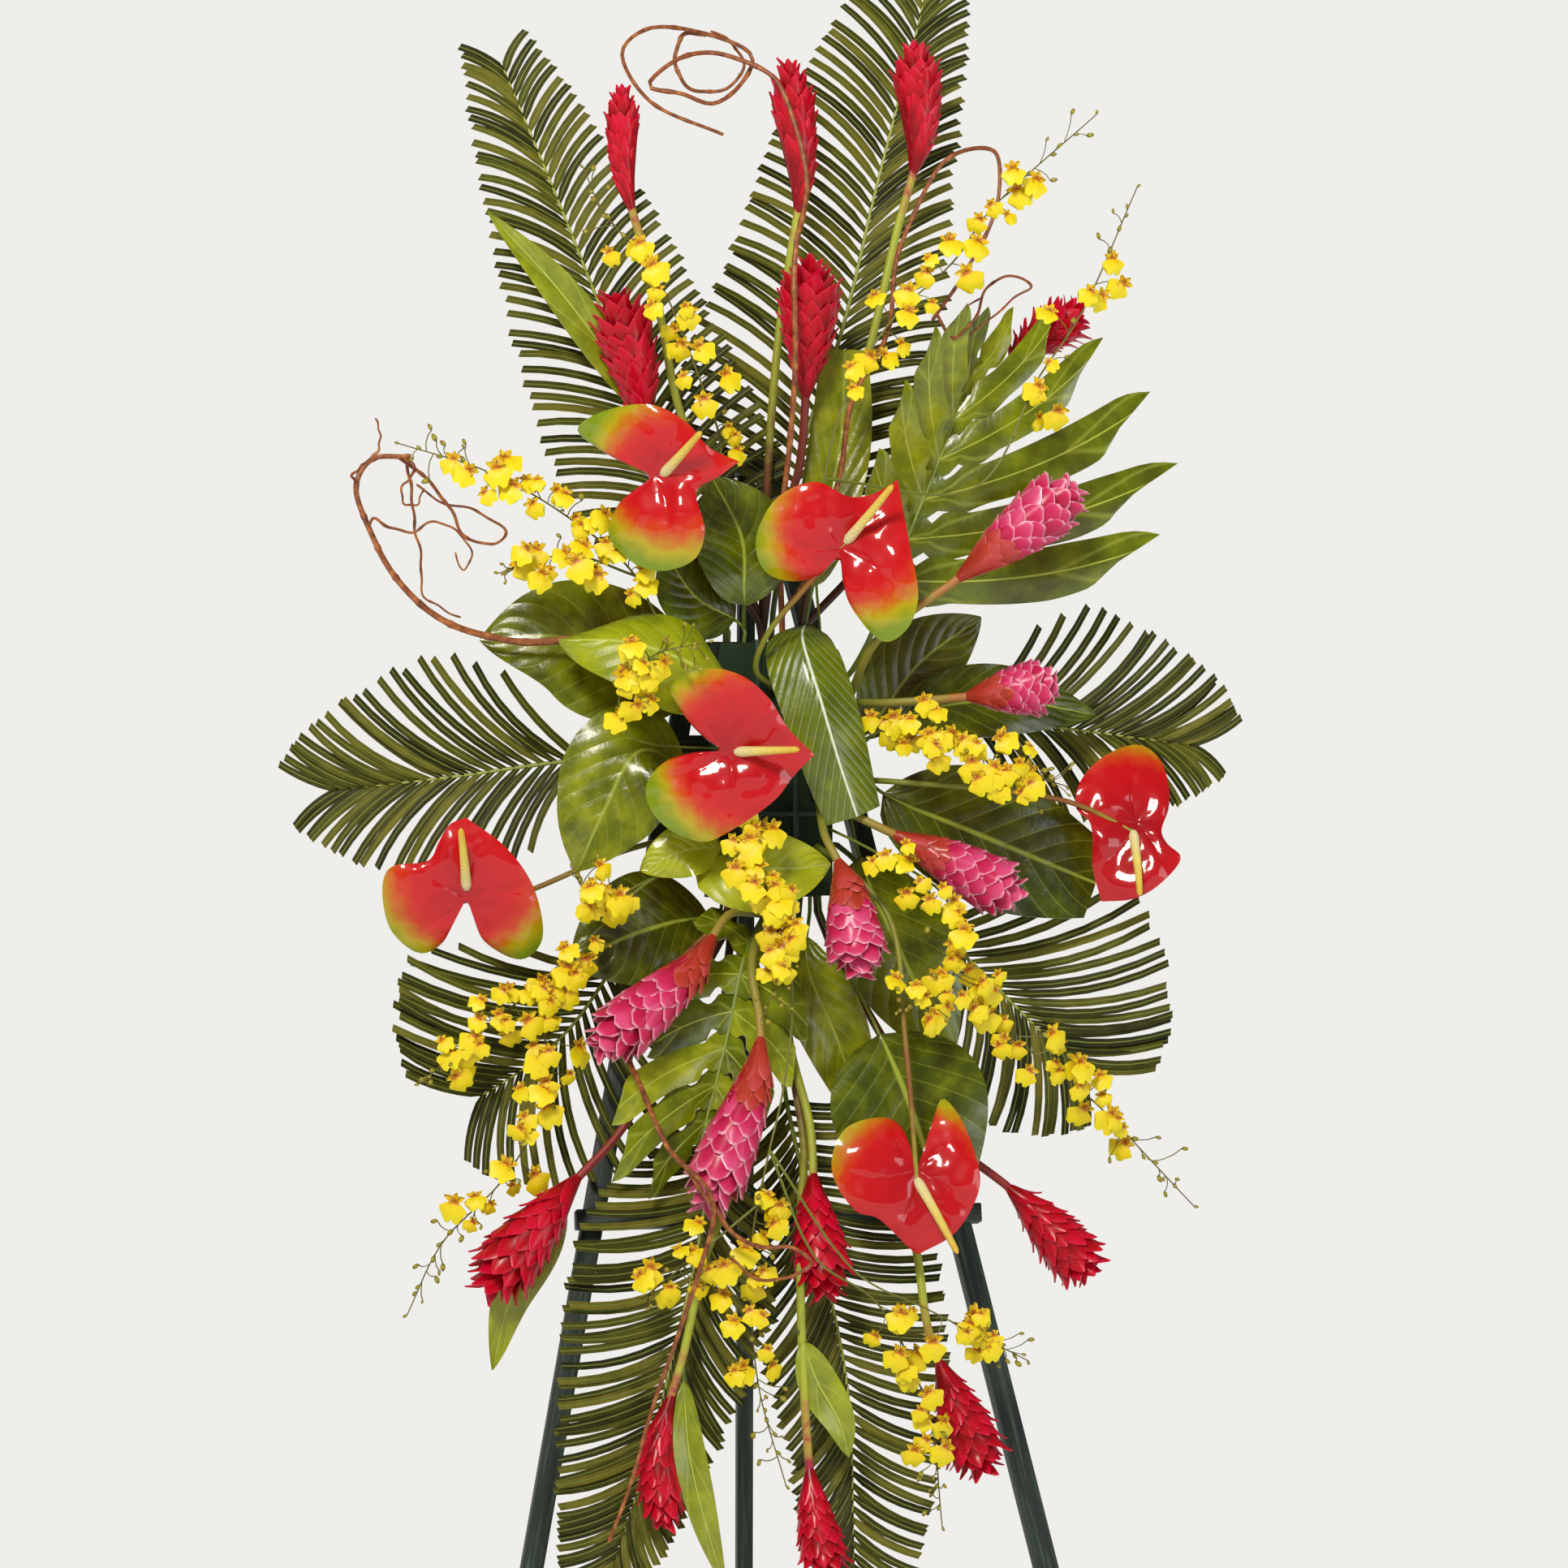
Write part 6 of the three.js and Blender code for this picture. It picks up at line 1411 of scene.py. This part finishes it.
for entry in SPRAYS:
    dice = random.Random(entry["name"])
    spray = Piece(entry["name"], "orchid", [orchid_lip, orchid_tepal, orchid_stem, orchid_bud])
    main = None
    for branch in entry["branches"]:
        if main:
            curve = Curve([main.point(branch["at"]), *(seen(*p) for p in branch["path"])])
        else:
            curve = main = stem_curve(entry["root"], branch["path"])
        spray.rod(spray_rod, Spine(curve, 0, 1, 60, FRONT), spray_radius, orchid_stem)
        count = branch["florets"] * (DENSER_HIGH if entry["root"][0] == "top" else DENSER_LOW)
        lay_shoot(spray, curve, count, branch["from"], dice)
        for i in range(TIP_BUDS):
            reach = 1 - 0.05 * i
            spot, axis = curve.point(reach), curve.tangent(reach)
            front = square(FRONT, axis)
            out = axis + axis.cross(front) * dice.uniform(-1, 1) + front * dice.uniform(0, 0.6)
            lay_bud(spray, spot, out.normalized(), 4.5 + i, dice)
    spray.finish()


# The curly vines
# Woody curly willow-like vines, orange brown, with small knobs where their side shoots broke
# off. They stand in the foam and loop freely in the air.

# on and at: the shoot that a side shoot leaves, by its order, and the share of it where it does
VINES = [
  { "name": "vine_top_pair", "root": ["top", 8, 164], "shoots": [
    { "radius": 3, "path": [[34, 1400, 190], [44, 1490, 206], [48, 1560, 216],
      [50, 1680, 216], [60, 1746, 190], [48, 1810, 170], [29, 1855, 160], [-12, 1875, 150],
      [-38, 1879, 148], [-66, 1872, 150], [-95, 1846, 156], [-63, 1838, 162], [-33, 1828, 160],
      [-6, 1846, 148], [6, 1876, 138], [-38, 1897, 132], [-96, 1903, 136], [-122, 1880, 146],
      [-96, 1834, 158], [-22, 1798, 172]] },
    { "on": 0, "at": 0.8, "radius": 2.2, "path": [[-62, 1896, 124], [-69, 1872, 118],
      [-60, 1848, 116], [-34, 1840, 118], [-8, 1852, 122], [-2, 1868, 124], [-14, 1889, 122],
      [-34, 1901, 118]] },
    { "on": 0, "at": 0.05, "radius": 3, "path": [[60, 1360, 192], [90, 1450, 198],
      [104, 1530, 202], [138, 1600, 206], [154, 1690, 200], [200, 1774, 196], [246, 1782, 190],
      [250, 1740, 188], [216, 1660, 192], [184, 1616, 202]] },
    { "on": 2, "at": 0.99, "radius": 1.6, "path": [[206, 1597, 204], [226, 1618, 204],
      [238, 1646, 202], [258, 1659, 200], [282, 1648, 198], [262, 1635, 194], [236, 1612, 194],
      [214, 1600, 194], [214, 1624, 196], [232, 1636, 208]] }] },
  { "name": "vine_left", "root": ["left", 1256, 150], "shoots": [
    { "radius": 4.2, "path": [[-104, 1284, 190], [-150, 1300, 192], [-240, 1300, 178],
      [-320, 1334, 176], [-366, 1398, 172], [-384, 1450, 168], [-368, 1478, 166],
      [-330, 1482, 166]] },
    { "on": 0, "at": 0.975, "radius": 1.8, "path": [[-318, 1462, 160], [-292, 1431, 158],
      [-280, 1406, 162], [-248, 1394, 170], [-237, 1407, 176], [-268, 1428, 176],
      [-305, 1438, 172], [-324, 1454, 176]] },
    { "on": 0, "at": 0.99, "radius": 1.6, "path": [[-330, 1450, 148], [-326, 1410, 148],
      [-320, 1382, 150], [-318, 1345, 154], [-301, 1332, 158], [-281, 1322, 160]] },
    { "on": 0, "at": 0.88, "radius": 1.5, "path": [[-388, 1462, 178], [-376, 1474, 186],
      [-363, 1487, 188], [-361, 1505, 186], [-365, 1519, 184]] },
    { "on": 0, "at": 0.8, "radius": 1.5, "path": [[-366, 1420, 182], [-351, 1411, 186],
      [-330, 1407, 188], [-305, 1417, 186], [-285, 1407, 186], [-270, 1386, 184],
      [-278, 1369, 180], [-287, 1386, 178]] },
    { "on": 0, "at": 0.985, "radius": 1.5, "path": [[-326, 1468, 178], [-338, 1452, 182],
      [-338, 1436, 178], [-324, 1434, 170], [-318, 1450, 168]] }] },
  { "name": "vine_bottom", "root": ["bottom", -46, 162], "shoots": [
    { "radius": 3, "path": [[-84, 960, 196], [-114, 900, 240], [-104, 860, 290],
      [-76, 800, 322], [-34, 750, 350], [-44, 680, 350], [-76, 590, 344], [-110, 480, 340],
      [-134, 410, 334]] },
    { "on": 0, "at": 0.5, "radius": 2.4, "path": [[0, 706, 350], [46, 700, 352],
      [66, 686, 350], [20, 668, 352], [-16, 690, 354]] }] },
]
KNOB_EVERY = 34
KNOB = 0.28
WANDER = 0.8


def vine_finish():
    """Smooth bark: orange brown with darker patches, a little rough."""
    material, tree, shader = new_material("smooth vine bark")
    spot = node(tree, "TexCoord").outputs["Object"]
    cloud = node(tree, "TexNoise", Vector=spot, Scale=1 / (8 * MM), Detail=5.0, Roughness=0.6)
    stops = [(0.3, "5a2c14"), (0.5, "8e4c20"), (0.65, "b06c34"), (0.8, "c98a50")]
    colour = node(tree, "ValToRGB", {"stops": stops}, i0=cloud)
    rough = node(tree, "Bump", Height=cloud, Distance=0.0008)
    wire(tree, shader, Base_Color=colour, Normal=rough, Roughness=0.5)
    return material


vine_bark = vine_finish()
vine_rod = model_rod(8, 150)
for entry in VINES:
    dice = random.Random(entry["name"])
    vine = Piece(entry["name"], "vine", [vine_bark])
    curves = []
    for shoot in entry["shoots"]:
        if curves:
            start = curves[shoot["on"]].point(shoot["at"])
            curve = Curve([start, *(seen(*p) for p in shoot["path"])])
        else:
            curve = stem_curve(entry["root"], shoot["path"])
        curves.append(curve)
        knobs = max(2, round(curve.length / KNOB_EVERY))
        radius = shoot["radius"]
        spine = Spine(curve, 0, 1, 150, FRONT)
        phase = dice.uniform(0, 6)

        def place(x, y, z):
            spot, _, normal, side = spine.at(z)
            knob = max(0, math.cos(2 * math.pi * (knobs * z + 0.2 * math.sin(7 * z)))) ** 12
            thick = radius * (1 - 0.45 * z) * (1 + KNOB * knob)
            free = WANDER * min(1, 8 * z)
            drift = side * math.sin(37 * z + phase) + normal * math.sin(29 * z - phase)
            return spot + drift * free + (side * x + normal * y) * thick

        vine.lay(vine_rod, place, vine_bark)
    vine.finish()
